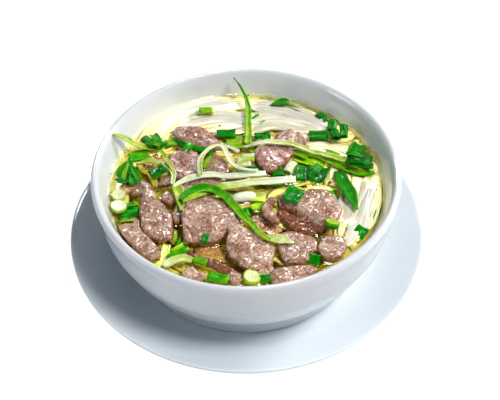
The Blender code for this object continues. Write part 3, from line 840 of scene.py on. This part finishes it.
def shape_tone(bm, points, tone, fade, seed=0.0, late=1.0):
    """Fade the tone along the piece and ruffle the piece a little."""
    along, place = bm.verts.layers.float["along"], bm.verts.layers.float["tone"]
    for v in points:
        v[place] = tone + fade * v[along] ** late
        v.co += noise.noise_vector(v.co * 0.16 + Vector((seed, 0, 0))) * RUFFLE


def blade(bm, route, wide, cup, ends=(0.3, 0.3), tone=0.2, fade=0.0, ribs=0.0, turn=0.0, around=8, step=2.5,
          quick=4.0, late=1.0):
    """A slit leaf: a sheet across its route, cupped by so many millimetres, its ends narrowed.
    quick says how soon the far end reaches full width, late how late the colour starts to change."""
    lean = radians(turn)

    def section(t, a):
        s = 2 * a - 1
        share = min(1.0, ends[0] + (1 - ends[0]) * 5 * t, ends[1] + (1 - ends[1]) * quick * (1 - t))
        out = s * wide / 2 * share
        up = cup * (s * s - 0.5) * share + ribs * cos(s * 3 * pi)
        return out * cos(lean) - up * sin(lean), out * sin(lean) + up * cos(lean)
    points = swept(bm, route, section, around=around, step=step, tube=False, tone=tone)
    shape_tone(bm, points, tone, fade, wide, late)


STALK_LAYERS = (  # width and depth as shares of the slice, and the step in tone
    (0.05, 0.0, -0.14), (0.05, -0.04, -0.02), (0.10, 0.04, 0.02), (0.05, -0.05, -0.14), (0.07, 0.04, 0.04),
    (0.06, -0.03, -0.08))


def stalk_slice(bm, x, y, z, across, high, heading=0.0, pitch=0.0, tone=0.85):
    """A slice of the solid white stalk: a short post whose cut face steps down and up, layer by layer."""
    shade = bm.verts.layers.float["tone"]
    before = set(bm.verts)
    post = bmesh.ops.create_cone(bm, cap_ends=True, segments=20, radius1=across / 2, radius2=across / 2,
                                 depth=high)["verts"]
    for v in post:
        v[shade] = tone - 0.26
    face = max({f for v in post for f in v.link_faces}, key=lambda f: f.calc_center_median().z)
    for width, depth, step in STALK_LAYERS:
        bmesh.ops.inset_region(bm, faces=[face], thickness=width * across, depth=depth * across)
        for v in face.verts:
            v[shade] = tone + step
    points = [v for v in bm.verts if v not in before]
    lean = Matrix.Rotation(radians(heading), 4, "Z") @ Matrix.Rotation(radians(90 - pitch), 4, "Y")
    bmesh.ops.transform(bm, matrix=Matrix.Translation((x, y, z)) @ lean, verts=points)
    for v in points:
        v.co += noise.noise_vector(v.co * 0.16) * RUFFLE


def give_wall(bm, wall=WALL):
    """Merge what met, face it outwards, and give the sheets their thickness."""
    bmesh.ops.remove_doubles(bm, verts=bm.verts, dist=0.002)
    bmesh.ops.recalc_face_normals(bm, faces=bm.faces)
    bmesh.ops.solidify(bm, geom=bm.faces[:], thickness=wall)


# %% [markdown]
# The short cut pieces lie where their solids are, and each solid stands for one to six of them. A row says
# what it is, where it lies, its size, the way it points, and its place on the colour ramp.

# %% Heights for what lies loose
CONTENTS = sorted(n for n in frame["nodes"] if n not in ("bowl", "saucer", "broth", "noodles"))
contents_tree = tree_of_solids(CONTENTS)


def rest_height(x, y):
    """Where a small piece rests: on the contents if they stand out there, or else on the broth."""
    return max(LEVEL + 0.4, top_of(contents_tree, x, y, missing=LEVEL))


def mid_height(node):
    """The middle of a solid's height."""
    low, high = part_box(node)
    return (low[2] + high[2]) / 2 / MM


# %% The short cut pieces
CUT_PIECES = {  # kind, x, y, up, long, wide, tall, heading, pitch, tone, fade
    "cut_back_light": [("tube", -29, 72, 0, 10, 6.4, 3.4, 6, 0, 0.46, 0.08)],
    "cut_back_dark": [("tube", -14, 48, 0, 13.5, 8.6, 2.6, 2, 0, 0.10, 0.05)],
    "cut_back_leaf": [
        ("tip", 26, 80, 0, 14, 6.4, 1.4, 190, 0, 0.12, 0.08),
        ("tip", 36, 78, 0, 12, 2.2, 0.5, -22, 0, 0.5, 0.2)],
    "cut_tube_right": [("tube", 52, 45, 0, 13, 8.6, 3.4, 0, 0, 0.10, 0.03)],
    "cut_right_long": [
        ("tube", 62.4, 51, 0.4, 9, 7, 4, 80, 6, 0.10, 0.05),
        ("tube", 63.6, 42, 0, 9, 7, 3.6, 95, -8, 0.06, 0.08)],
    "cut_right_back": [("tube", 70, 44, 0, 12, 5.8, 2.8, 84, 0, 0.14, 0.0)],
    "cut_right_wall": [("leaf", 79, 33, 0, 10.5, 9.6, 1.8, 60, 0, 0.13, 0.05)],
    "cut_dark_leaf": [
        ("leaf", 79, 18, 0, 18, 11, 1.6, -14, 0, 0.02, 0.08),
        ("leaf", 80, 12.5, 0.2, 17, 5, 1.0, -12, 0, 0.06, 0.10),
        ("leaf", 76, 22.5, 0.6, 12, 3, 0.6, -20, 0, 0.22, 0.1)],
    "cut_behind_beef": [
        ("tube", 12, 44, 0.2, 11.5, 6, 3.6, 6, 0, 0.08, 0.02),
        ("tube", 13.5, 39.6, 0.6, 6, 5.6, 4.2, 78, -8, 0.30, -0.14)],
    "cut_left_cluster": [
        ("tube", -69, 40, -0.6, 12, 6.4, 3.2, -46, 8, 0.14, 0.08),
        ("tube", -62, 37.4, -0.4, 11, 6, 3.2, -34, 14, 0.09, 0.05),
        ("leaf", -64, 43, 0.2, 11, 5, 1.4, -62, 4, 0.24, 0.14),
        ("leaf", -66, 36, 1.2, 12, 3, 0.8, -30, 10, 0.34, 0.1)],
    "cut_left_wall": [
        ("tip", -86, 14, 0.2, 14, 5, 1.6, 66, 14, 0.22, 0.14),
        ("tip", -81, 15, 0.6, 17, 5, 1.6, 98, 10, 0.16, 0.12),
        ("leaf", -83, 5, 0, 12, 8, 1.8, 54, -8, 0.10, 0.1),
        ("tip", -77, 9, 0.9, 15, 4.6, 1.4, 118, 12, 0.26, 0.12),
        ("tip", -84, 9, 1.4, 14, 2.4, 0.6, 74, 16, 0.46, 0.1),
        ("leaf", -78, 3, 0.2, 10, 6, 1.6, 100, 0, 0.14, 0.08)],
    "cut_left_square": [("tube", -61, 6.4, -0.6, 11, 8.6, 2.6, 34, 8, 0.06, 0.05)],
    "cut_left_front": [
        ("leaf", -79, -25, 0, 14, 12, 1.8, 20, 0, 0.05, 0.10),
        ("leaf", -80, -18.6, 0.6, 14, 2.4, 0.5, 6, 0, 0.58, -0.05),
        ("leaf", -79, -32.4, 0.2, 11, 2.6, 0.5, 4, 0, 0.55, 0.0)],
    "cut_middle_white": [
        ("tube", 0, 19.6, 0.8, 12, 4.4, 3.4, 4, 0, 0.84, -0.30),
        ("tube", -2, 15.2, 0.2, 11, 4.2, 3.2, 10, 0, 0.60, 0.24),
        ("tube", 1, 24, 0.4, 10, 4, 3, 2, 4, 0.66, 0.2)],
    "cut_middle_dark": [("leaf", 39.5, 9.5, 0.4, 13.5, 10.4, 2.6, 84, 0, 0.09, 0.05)],
    "cut_middle_right": [("leaf", 51, 8, 0.6, 15, 11.6, 3.0, 64, 4, 0.07, 0.06)],
    "cut_on_beef": [("leaf", 32, -20, 0.3, 13, 11.6, 1.8, 62, 6, 0.14, 0.03)],
    "cut_front": [("tube", -18, -83, 0, 13, 7.4, 3.2, -14, 0, 0.30, 0.02)],
}


def add_cut(bm, row, height):
    kind, x, y, up, long, wide, tall, heading, pitch, tone, fade = row
    if kind == "tube":
        tube(bm, x, y, height + up, long, wide, tall, heading, pitch, bow=0.2, tone=tone, fade=fade)
    elif kind == "leaf":
        blade(bm, straight(x, y, height + up, long, heading, pitch, bow=0.6), wide, tall, ends=(0.92, 0.86),
              tone=tone, fade=fade, step=1.6)
    elif kind == "tip":
        blade(bm, straight(x, y, height + up, long, heading, pitch, bow=0.6), wide, tall, ends=(0.35, 0.08),
              tone=tone, fade=fade, step=1.4, quick=2.2)
    else:
        stalk_slice(bm, x, y, height + up, wide, tall, heading, pitch, tone)


for name, rows in CUT_PIECES.items():
    bm = new_bmesh()
    for row in rows:
        add_cut(bm, row, mid_height(name))
    give_wall(bm)
    finish_piece(name.replace("cut", "onion"), bm, leaf_finish, [name])

# %% The long blades
BLADES = {  # route of (x, y), width, how deep it is cupped, and the rest as blade() takes it
    "leaf_back": dict(route=[(-14, 41), (-3, 42), (8, 39)], wide=7.4, cup=1.0, ends=(0.8, 0.8), tone=0.5,
        fade=0.08, ribs=0.25),
    "leaf_on_noodles": dict(route=[(64, 11), (67, -2), (71, -16), (74, -28)], wide=8, cup=2.0,
        ends=(0.6, 0.1), tone=0.14, fade=0.18, quick=3.0),
    "strand_at_wall": dict(route=[(-93, 35), (-89, 35), (-84, 35), (-78, 34), (-70, 35), (-60, 36)],
        wide=4, cup=1.2, ends=(0.1, 1), tone=0.66, fade=-0.12),
    "strand_left": dict(route=[(-76, 15), (-69.5, 17.6), (-63, 17), (-58, 14), (-53.4, 9.8), (-50.8, 6),
        (-49.4, 0), (-50, -7)], wide=3.0, cup=1.2, ends=(0.3, 0.7), tone=0.62, fade=0.16, ribs=0.12),
    "strand_right_green": dict(route=[(37, 29), (50, 27), (60, 20), (72, 12), (82, 8), (89, 9)], wide=5,
        cup=1.2, ends=(0.5, 0.5), tone=0.54, fade=-0.18),
    "strand_right_pale": dict(route=[(-2, 34), (8, 33), (20, 33), (31, 32), (45, 28), (60, 23), (74, 17),
        (86, 12)], wide=3.6, cup=1.4, ends=(0.3, 0.6), tone=0.88, fade=-0.34, ribs=0.1),
    "strand_thick_white": dict(route=[(-27, -10), (-10, -6), (5, -3), (20, -2), (34, -1)], wide=6.4,
        cup=1.6, ends=(0.3, 0.9), tone=0.58, fade=0.40, ribs=0.4),
    "strand_middle": dict(route=[(-50.5, -7), (-47, -3.4), (-42, 0), (-28, 4), (-15, 3), (0, 2), (14, 5)],
        wide=4.6, cup=1.4, ends=(0.4, 0.9), tone=0.88, fade=0.06, ribs=0.2),
    "strand_loop": dict(route=[(-31, 2), (-32, 13), (-30, 20), (-24, 27), (-19, 29), (-15, 26), (-12, 17),
        (-7, 8), (0, 4), (8, 4)], wide=3.4, cup=1.2, ends=(0.8, 0.4), tone=0.74, fade=0.18, turn=25),
    "leaf_middle": dict(route=[(-44, -21), (-39, -14), (-31, -10), (-24, -11), (-15, -17), (-8, -26),
        (0, -39), (8, -50), (15, -56)], wide=7.2, cup=2.2, ends=(0.3, 0.42), tone=0.22, fade=0.34,
        ribs=0.25, quick=1.15, late=0.9),
    "strand_front_green": dict(route=[(-51, -67), (-46, -64), (-39, -60)], wide=4.4, cup=1.8,
        ends=(0.9, 0.9), tone=0.32),
    "strand_front_pale": dict(route=[(-53, -74), (-46, -70), (-40, -68), (-35, -70)], wide=5.2, cup=1.8,
        ends=(0.5, 0.7), tone=0.80, fade=-0.16, ribs=0.2),
    "leaf_tall": dict(route=[(1, 37), (2, 48), (2, 62), (1, 78), (-4, 87), (-9, 93)], wide=5.2, cup=1.6,
        ends=(1, 0.05), tone=0.55, fade=-0.42, quick=2.0, late=2.6),
}


def laid_on(node, points):
    """The route of a blade, with its heights taken from the solid that it stands for."""
    tree = tree_of_solids([node])
    line = smooth_line([(x, y, 0) for x, y in points], 4)
    heights = [top_of(tree, p.x, p.y) for p in line]
    known = [(k, z) for k, z in enumerate(heights) if z is not None]
    for k in range(len(heights)):
        if heights[k] is None:
            heights[k] = min(known, key=lambda pair: abs(pair[0] - k))[1]
    near = [heights[max(0, k - 1):k + 2] for k in range(len(heights))]
    eased = [sum(few) / len(few) for few in near]
    return [Vector((p.x, p.y, z - 0.6)) for p, z in zip(line, eased)]


for name, shape in BLADES.items():
    bm = new_bmesh()
    blade(bm, **{**shape, "route": laid_on(name, shape["route"])}, around=12, step=1.8)
    give_wall(bm, BLADE_WALL)
    piece = name.replace("strand", "onion_strand").replace("leaf", "onion_leaf")
    finish_piece(piece, bm, leaf_finish, [name])
print(len(CUT_PIECES), "clusters of cut pieces and", len(BLADES), "long blades")

# %% [markdown]
# ## The small things
# Between the large pieces lie chopped bits that have no solid of their own: stalk slices at the wall,
# slivers of leaf, leaf ends that went yellow, and pieces that sank a few millimetres. They are the same
# three shapes again, each laid on whatever is under it. A negative height puts a piece below the surface.

# %% Loose onion
LOOSE = [  # kind, x, y, height over its rest, long, wide, tall, heading, pitch, tone, fade
    ("leaf", 9.5, 65, 0.3, 9.5, 9, 1.4, 50, 0, 0.26, 0.04),
    ("tube", 55, 68, 0.4, 6, 5, 3.4, 30, 0, 0.12, 0), ("tube", 58, 65, 0.2, 7, 4, 3, 100, 0, 0.14, 0.04),
    ("tube", -54, 41.4, 0.6, 9, 6.2, 3.2, 8, 0, 0.42, 0.05),
    ("tube", -45.5, 39.5, 1.4, 15, 4.4, 2.6, -36, 0, 0.10, 0.05),
    ("leaf", -40, 31, 1.0, 10, 5, 1.8, 62, 0, 0.2, 0.18),
    ("tube", -30.5, 33, 1.4, 15, 7, 3, -34, 0, 0.12, 0.08),
    ("leaf", -25, 17.5, -1.0, 11, 5.6, 1.4, 62, 10, 0.46, 0.1),
    ("leaf", -4, 9, 0.5, 14, 5, 1.2, 8, 0, 0.12, 0.06), ("leaf", 7, 13, 0.5, 12, 6, 1.2, -5, 0, 0.1, 0.1),
    ("tube", 22, 12, 0.5, 11, 8.4, 2.6, 100, 0, 0.08, 0.08),
    ("tube", 31, 14.5, 1.2, 9.5, 6.8, 4.4, 62, 8, 0.9, -0.08),
    ("leaf", 58, -9, -2.4, 9, 5, 1.4, 20, 0, 0.2, 0.1), ("leaf", 62, -15, -3, 8, 5, 1.2, 70, 0, 0.24, 0.1),
    ("slice", -87.2, -9.5, 0.5, 0, 10, 2.8, 0, 84, 0.84, 0),
    ("slice", -86, -21, 1.9, 0, 11, 2.8, 30, 80, 0.92, 0),
    ("slice", 56, -44, 0.8, 0, 9, 3.6, 60, 64, 0.62, 0),
    ("slice", 3, -82, 0.8, 0, 11.4, 3.2, 20, 78, 0.82, 0),
    ("leaf", 75, -45, 0.3, 10, 8, 1.4, 55, 12, 0.1, 0.05),
    ("tube", 43, -67.5, 0.9, 6, 8.4, 5, 80, 34, 0.1, 0.1),
    ("leaf", -27, -52.5, 1.0, 8, 4, 0.8, 80, 0, 0.12, 0.05),
    ("leaf", -44, -56, -2.5, 12, 6, 1.6, 30, 0, 0.45, 0.1),
    ("leaf", -41, -49, -3.6, 13, 7, 1.6, 62, 0, 0.3, 0.1),
    ("tube", -30, -69.5, 0.6, 9, 5, 2.8, -20, 0, 0.34, 0.05),
    ("leaf", 13, -83, 0.5, 10, 5.4, 1.4, 8, 0, 0.14, 0.1),
    ("leaf", -47, -46, 0.2, 9, 1.8, 0.3, 85, 0, 0.5, 0.1),
    ("leaf", -3, -27.5, 0.4, 10.5, 7.8, 1.2, 15, 0, 0.1, 0.08),
    ("leaf", 6, -13, 0.4, 14, 7, 1.4, -10, 0, 0.54, 0.12),
    ("leaf", 10, -19, -0.8, 14, 6, 1.0, 30, 0, 0.48, 0.1),
    ("leaf", -44.3, -16.5, 1.0, 23, 6.6, 1.6, -74, 0, 0.58, 0.06),
    ("leaf", -35, -17.6, 1.2, 18, 4.6, 1.2, 28, 0, 0.54, 0.06),
    ("tip", 22, -55.5, 2.0, 18, 7, 1.4, -14, 0, 0.64, 0.14),
    ("leaf", -53, -60, -0.8, 15, 5, 1.2, 82, 0, 0.7, 0.06),
    ("leaf", 45, 24, -1.2, 23, 11, 1.4, -25, 0, 0.48, 0.05),
    ("leaf", 38, 28, -0.7, 13, 6, 1.0, -30, 0, 0.44, 0.06),
    ("leaf", 66, 28, -1.6, 18, 7, 1.4, -30, 0, 0.18, 0.1),
    ("leaf", 88.4, -12, -1.4, 14, 3, 0.6, 95, 0, 0.2, 0.2),
    ("leaf", 85, -28, -1.2, 12, 3, 0.6, 72, 0, 0.16, 0.1),
    ("leaf", -55, 16, 1.4, 22, 2.2, 0.6, -64, 0, 0.55, 0.1),
    ("leaf", 5, 30, 1.6, 8, 3, 0.8, -70, 0, 0.42, 0.12),
    ("leaf", -10, 34.5, 1.4, 12, 2.4, 0.6, -30, 0, 0.74, 0.1),
    ("leaf", -4, 37, 0.6, 20, 4, 0.8, -4, 0, 0.5, 0.1), ("leaf", -6, 46, 0.3, 18, 3, 0.8, 4, 0, 0.46, 0.1),
    ("leaf", -76, 30, -1.2, 14, 9, 1.4, 20, 0, 0.3, 0.1),
    ("leaf", 60, 30, 0.2, 14, 3, 0.8, -26, 0, 0.4, 0.1),
    ("leaf", -57, -70, -1.0, 9, 4, 1.0, 40, 0, 0.5, 0.2),
    ("leaf", 30, 5, -1.8, 22, 8, 1.2, 6, 0, 0.44, 0.1),
    ("leaf", 18, 2, -1.2, 14, 6, 1.2, -8, 0, 0.12, 0.06)
]
loose_bm, slices_bm = new_bmesh(), new_bmesh()
for row in LOOSE:
    add_cut(slices_bm if row[0] == "slice" else loose_bm, row, rest_height(row[1], row[2]))
give_wall(loose_bm)
close_and_face_out(slices_bm)
finish_piece("onion_loose", loose_bm, leaf_finish)
finish_piece("onion_rings", slices_bm, leaf_finish)

# %% [markdown]
# The thick white end of a stalk is solid, so it is a closed swept body and gets no wall.

# %% The white bulb piece
def bulb_section(t, a):
    """Round ends that close to a point."""
    end = max(0.0, 1 - abs(2 * t - 1) ** 2.6) ** 0.5
    return 4.2 * end * cos(tau * a), 2.7 * end * sin(tau * a)


bulb_bm = new_bmesh()
swept(bulb_bm, straight(-1.5, -12.5, rest_height(-4, -13) + 1.2, 17, 8), bulb_section, around=16, step=0.8,
      tone=0.9)
close_and_face_out(bulb_bm)
finish_piece("onion_bulb", bulb_bm, leaf_finish)

# %% [markdown]
# Leaf tips break off when the onion is chopped. A pinch of flecks one to three millimetres long floats
# everywhere, thickest at the walls, where the broth carries them.

# %% Flecks
FLECKS = 90
FLECK_REACH = 94
fleck_bm = new_bmesh()
for _ in range(FLECKS):
    out = FLECK_REACH * chance.random() ** 0.35
    turn = chance.uniform(0, tau)
    place = keep_inside(Vector((out * cos(turn), out * sin(turn), LEVEL)), 2.0)
    if top_of(contents_tree, place.x, place.y, missing=0) > LEVEL + 3.5:
        continue
    blade(fleck_bm, straight(place.x, place.y, rest_height(place.x, place.y) - 0.1, chance.uniform(1.2, 3.2),
                             chance.uniform(0, 180)), chance.uniform(0.7, 1.6), 0.2,
          tone=chance.choice((0.1, 0.14, 0.3, 0.5)), around=2, step=0.8)
give_wall(fleck_bm, FLECK_WALL)
finish_piece("onion_flecks", fleck_bm, leaf_finish)

# %% [markdown]
# A few bits of beef are too small or too deep for a solid of their own: slivers in the gaps and ends that
# have slipped under. Each is a ball pressed to a slab and roughened like the slices.

# %% Scraps of beef
SCRAPS = [  # x, y, height over the broth, long, wide, thick, heading, redness
    (-71, 28, -2.6, 17, 8, 3, -52, 0.0), (-83, 0, -1.6, 13, 12, 4, 10, 0.0),
    (-73, -35, 0.4, 5, 13, 4, 12, 0.1), (13, -76, 0.2, 11, 9, 4, 30, 0.0),
    (-10, -14, 0.8, 12, 8, 4, -30, 0.3), (-8, -82, 1.0, 10, 9, 5, 0, 0.2),
    (-22, -58, -4.5, 26, 16, 3, -20, 0.0), (2, 23, 0.6, 8, 12, 4, 20, 0.0),
    (-60, 26, -3.6, 22, 12, 3, 30, 0.0), (-41, -24, 1.6, 8, 5, 3, 60, 0.1),
    (-80, -42, -2.0, 14, 7, 4, -50, 0.1)
]
for number, (x, y, height, long, wide, thick, heading, redness) in enumerate(SCRAPS):
    scrap = bmesh.new()
    bmesh.ops.create_icosphere(scrap, subdivisions=5, radius=0.5)
    for v in scrap.verts:
        v.co.z = copysign(abs(2 * v.co.z) ** 0.6 / 2, v.co.z)
    place = Matrix.Translation((x, y, LEVEL + height)) @ Matrix.Rotation(radians(heading), 4, "Z")
    bmesh.ops.transform(scrap, matrix=place @ Matrix.Diagonal((long, wide, thick, 1)), verts=scrap.verts)
    roughen(scrap, 40 + number, radians(heading), redness, 0.9)
    finish_piece(f"slice_scrap_{number + 1}", scrap, beef_finish)

# %% [markdown]
# ## The broth
# Beef broth is clear and yellow, and the depth of it gives the colour: pale over the noodles, deep gold
# where one looks far down. That calls for a body of liquid that takes light away along the ray, and not
# for a painted surface. It is turned like the bowl and reaches just into the wall, so that no line of air
# shows. Water climbs a little wherever it meets something, and those small slopes carry the bright lines
# round every piece.

# %% The body of liquid
INTO_WALL = 0.5
MENISCUS = 0.9
CLIMB = 1.1
RING_STEP = 1.1
BROTH_STEPS = 280

DEPTH_TOP = LEVEL - BOWL_BASE
WALL_AT_LEVEL = bowl_inner_radius(DEPTH_TOP)
wetted = [(r, z) for r, z in flow(INSIDE, 4) if z < DEPTH_TOP + MENISCUS - 1]
under = [(max(0.0, r + (INTO_WALL if r else 0)), z - (0.5 * INTO_WALL if r < 80 else 0)) for r, z in wetted]
climb = [(WALL_AT_LEVEL + INTO_WALL - back, DEPTH_TOP + MENISCUS * exp(-back / 1.5))
         for back in (0, 0.5, 1, 1.6, 2.4, 3.2)]
rings = int((climb[-1][0] - 0.5) / RING_STEP)
level = [(climb[-1][0] * (1 - k / rings), DEPTH_TOP) for k in range(1, rings + 1)]
broth_bm = turned([(r, z + BOWL_BASE) for r, z in under + climb + level], BROTH_STEPS)

standing = [o.data for o in bpy.data.objects if o.name.startswith(("slice_", "onion_", "noodles_"))]
standing_tree = tree_of(standing)
for v in broth_bm.verts:
    if v.co.z > LEVEL - 0.01:
        near = standing_tree.find_nearest(Vector((v.co.x, v.co.y, LEVEL + 0.3)), 3.0)[3]
        swell_up = 0.10 * noise.noise(v.co * 0.12)
        v.co.z += swell_up + (MENISCUS * exp(-near / CLIMB) if near is not None else 0.0)
print(f"broth {DEPTH_TOP:.1f} mm deep over the foot, {2 * WALL_AT_LEVEL:.0f} mm across its surface")

# %% [markdown]
# **Clear broth.** Water with gelatine and a little fat: refractive index 1.34 and a smooth, wet surface. It
# absorbs blue and very little of the rest, so the depth turns it gold. The density is set so that about
# three and a half millimetres of broth halve the blue light.

# %% Clear broth
def clear_liquid(name, tint, index, roughness=0.0, depth_colour=None, density=0.0):
    """Lets light through, bends it by the index, and may take some away along its way."""
    material, tree = new_material(name)
    shader = add(tree, "BsdfPrincipled", {
        "Base Color": colour(tint), "Roughness": roughness, "IOR": index, "Transmission Weight": 1.0})
    depth = {}
    if depth_colour:
        depth["Volume"] = add(tree, "VolumeAbsorption", {"Color": colour(depth_colour), "Density": density})
    surface(tree, shader, **depth)
    return material


clear_broth = clear_liquid("clear_broth", "#fffdf2", 1.34, depth_colour="#f0ec30", density=200.0)
broth = finish_piece("broth_liquid", broth_bm, clear_broth, ["broth"])
broth.visible_shadow = False

# %% [markdown]
# Fat floats as flat lenses a few millimetres wide, and a chain of small bubbles clings to the wall at the
# left. Both are balls half sunk in the broth, and the fat is pressed flat. Melted fat is golden, clear and a
# little denser to light than broth; a bubble is all skin, so its index is low.

# %% Fat and bubbles
melted_fat = clear_liquid("melted_fat", "#fff6d6", 1.44, roughness=0.02)
bubble_skin = clear_liquid("bubble_skin", "#ffffff", 1.2)
FAT_TRIES = 700
FAT_REACH = 93
BUBBLES = 60

ball_bm = bmesh.new()
bmesh.ops.create_uvsphere(ball_bm, u_segments=12, v_segments=6, radius=0.5)
ball = bpy.data.meshes.new("ball")
ball_bm.to_mesh(ball)
ball_bm.free()


def dome(bm, x, y, z, across, high):
    """Add a ball of the given width and height."""
    pressed = ball.copy()
    pressed.transform(Matrix.Translation((x, y, z)) @ Matrix.Diagonal((across, across, high, 1)))
    bm.from_mesh(pressed)
    bpy.data.meshes.remove(pressed)


def open_broth(x, y, clear):
    """True where nothing stands out of the broth within the given distance."""
    return (standing_tree.find_nearest(Vector((x, y, LEVEL)), clear)[0] is None
            and hypot(x, y) < WALL_AT_LEVEL - clear)


fat_bm = bmesh.new()
for _ in range(FAT_TRIES):
    out, turn = FAT_REACH * sqrt(chance.random()), chance.uniform(0, tau)
    across = 0.8 + 3.4 * chance.random() ** 3
    x, y = out * cos(turn), out * sin(turn)
    if open_broth(x, y, across / 2 + 0.4):
        dome(fat_bm, x, y, LEVEL + 0.02, across, 0.5 + 0.08 * across)
fat = finish_piece("fat_drops", fat_bm, melted_fat)
fat.visible_shadow = False

bubble_bm = bmesh.new()
for _ in range(BUBBLES):
    turn = radians(chance.gauss(176, 9))
    reach = WALL_AT_LEVEL - abs(chance.gauss(0.6, 0.9))
    size = chance.uniform(0.6, 1.7)
    dome(bubble_bm, reach * cos(turn), reach * sin(turn), LEVEL + 0.5, size, size)
bubbles = finish_piece("wall_bubbles", bubble_bm, bubble_skin)
bubbles.visible_shadow = False

# %% [markdown]
# ## The table, the light and the eye
# A white table top, two large soft lights from the right, a weak one from the left, and a dim white room
# as fill. Wet food shows small bright glints, so three small lamps behind the bowl are left out of the matt
# light and show as glints, and the strongest light is left out of the reflections. The eye looks down at 47
# degrees, as a seated person does.

# %% The table top
TABLE_SIZE = 6.0


def white_table():
    """White lacquer that glows for the eye, and only faintly for the bowl."""
    material, tree = new_material("white_lacquered_table")
    seen = add(tree, "LightPath").outputs["Is Camera Ray"]
    glow = add(tree, "MapRange", {"Value": seen, "To Min": 0.10, "To Max": 0.75})
    shader = add(tree, "BsdfPrincipled", {
        "Base Color": colour("#f4f4f4"), "Roughness": 0.6, "Emission Color": colour("#ffffff"),
        "Emission Strength": glow})
    surface(tree, shader)
    return material


table_bm = bmesh.new()
bmesh.ops.create_grid(table_bm, x_segments=2, y_segments=2, size=TABLE_SIZE / 2)
table_mesh = bpy.data.meshes.new("table_top")
table_bm.to_mesh(table_mesh)
table_bm.free()
table_mesh.materials.append(white_table())
table_top = bpy.data.objects.new("table_top", table_mesh)
bpy.context.scene.collection.objects.link(table_top)

# %% The lights
AIM_HEIGHT = 0.05
FAR = 1.6
SPARKLE_DISTANCE = 1.4
SPARKLES = [(0.42, 0.60, 0.68), (-0.38, 0.72, 0.58), (0.08, 0.33, 0.94)]
ROOM_STRENGTH = 0.05


def soft_light(name, direction, distance, size, watts, tint="#ffffff"):
    """A round soft lamp that looks at the bowl from the given direction. Lengths are in metres."""
    lamp = bpy.data.lights.new(name, "AREA")
    lamp.shape = "DISK"
    lamp.size = size
    lamp.energy = watts
    lamp.color = colour(tint)[:3]
    holder = bpy.data.objects.new(name, lamp)
    away = Vector(direction).normalized()
    holder.location = away * distance + Vector((0, 0, AIM_HEIGHT))
    holder.rotation_euler = away.to_track_quat("Z", "Y").to_euler()
    bpy.context.scene.collection.objects.link(holder)
    return holder


key = soft_light("box_front_right", (0.44, -0.18, 0.88), FAR, 0.6, 22.5)
key.visible_glossy = False
soft_light("window_right", (0.785, 0.453, 0.423), FAR, 0.5, 16)
soft_light("fill_left", (-0.95, -0.25, 0.36), FAR, 0.7, 7.0, "#dfeaf2")
for number, direction in enumerate(SPARKLES):
    sparkle = soft_light(f"sparkle_{number + 1}", direction, SPARKLE_DISTANCE, 0.25, 6)
    sparkle.visible_diffuse = False
room = bpy.data.worlds.new("white_room")
room.use_nodes = True
room.node_tree.nodes["Background"].inputs["Color"].default_value = colour("#e4eeff")
room.node_tree.nodes["Background"].inputs["Strength"].default_value = ROOM_STRENGTH
bpy.context.scene.world = room
bpy.context.scene.view_settings.view_transform = "Standard"

# %% The eye
EYE_HEIGHT_ANGLE = radians(47.36)
EYE_DISTANCE = 701.0
EYE_TARGET = Vector((2.5, 0.0, 53.6))
EYE_ROLL = radians(-0.68)
LENS = 72.0

ahead = Vector((0, cos(EYE_HEIGHT_ANGLE), -sin(EYE_HEIGHT_ANGLE)))
over = Vector((0, sin(EYE_HEIGHT_ANGLE), cos(EYE_HEIGHT_ANGLE)))
right = Vector((1, 0, 0))
across = right * cos(EYE_ROLL) + over * sin(EYE_ROLL)
upright = over * cos(EYE_ROLL) - right * sin(EYE_ROLL)
camera = bpy.data.cameras.new("eye")
camera.lens = LENS
camera.clip_start = 0.01
eye = bpy.data.objects.new("eye", camera)
turn = Matrix((across, upright, -ahead)).transposed().to_4x4()
eye.matrix_world = Matrix.Translation((EYE_TARGET - ahead * EYE_DISTANCE) * MM) @ turn
bpy.context.scene.collection.objects.link(eye)
bpy.context.scene.camera = eye
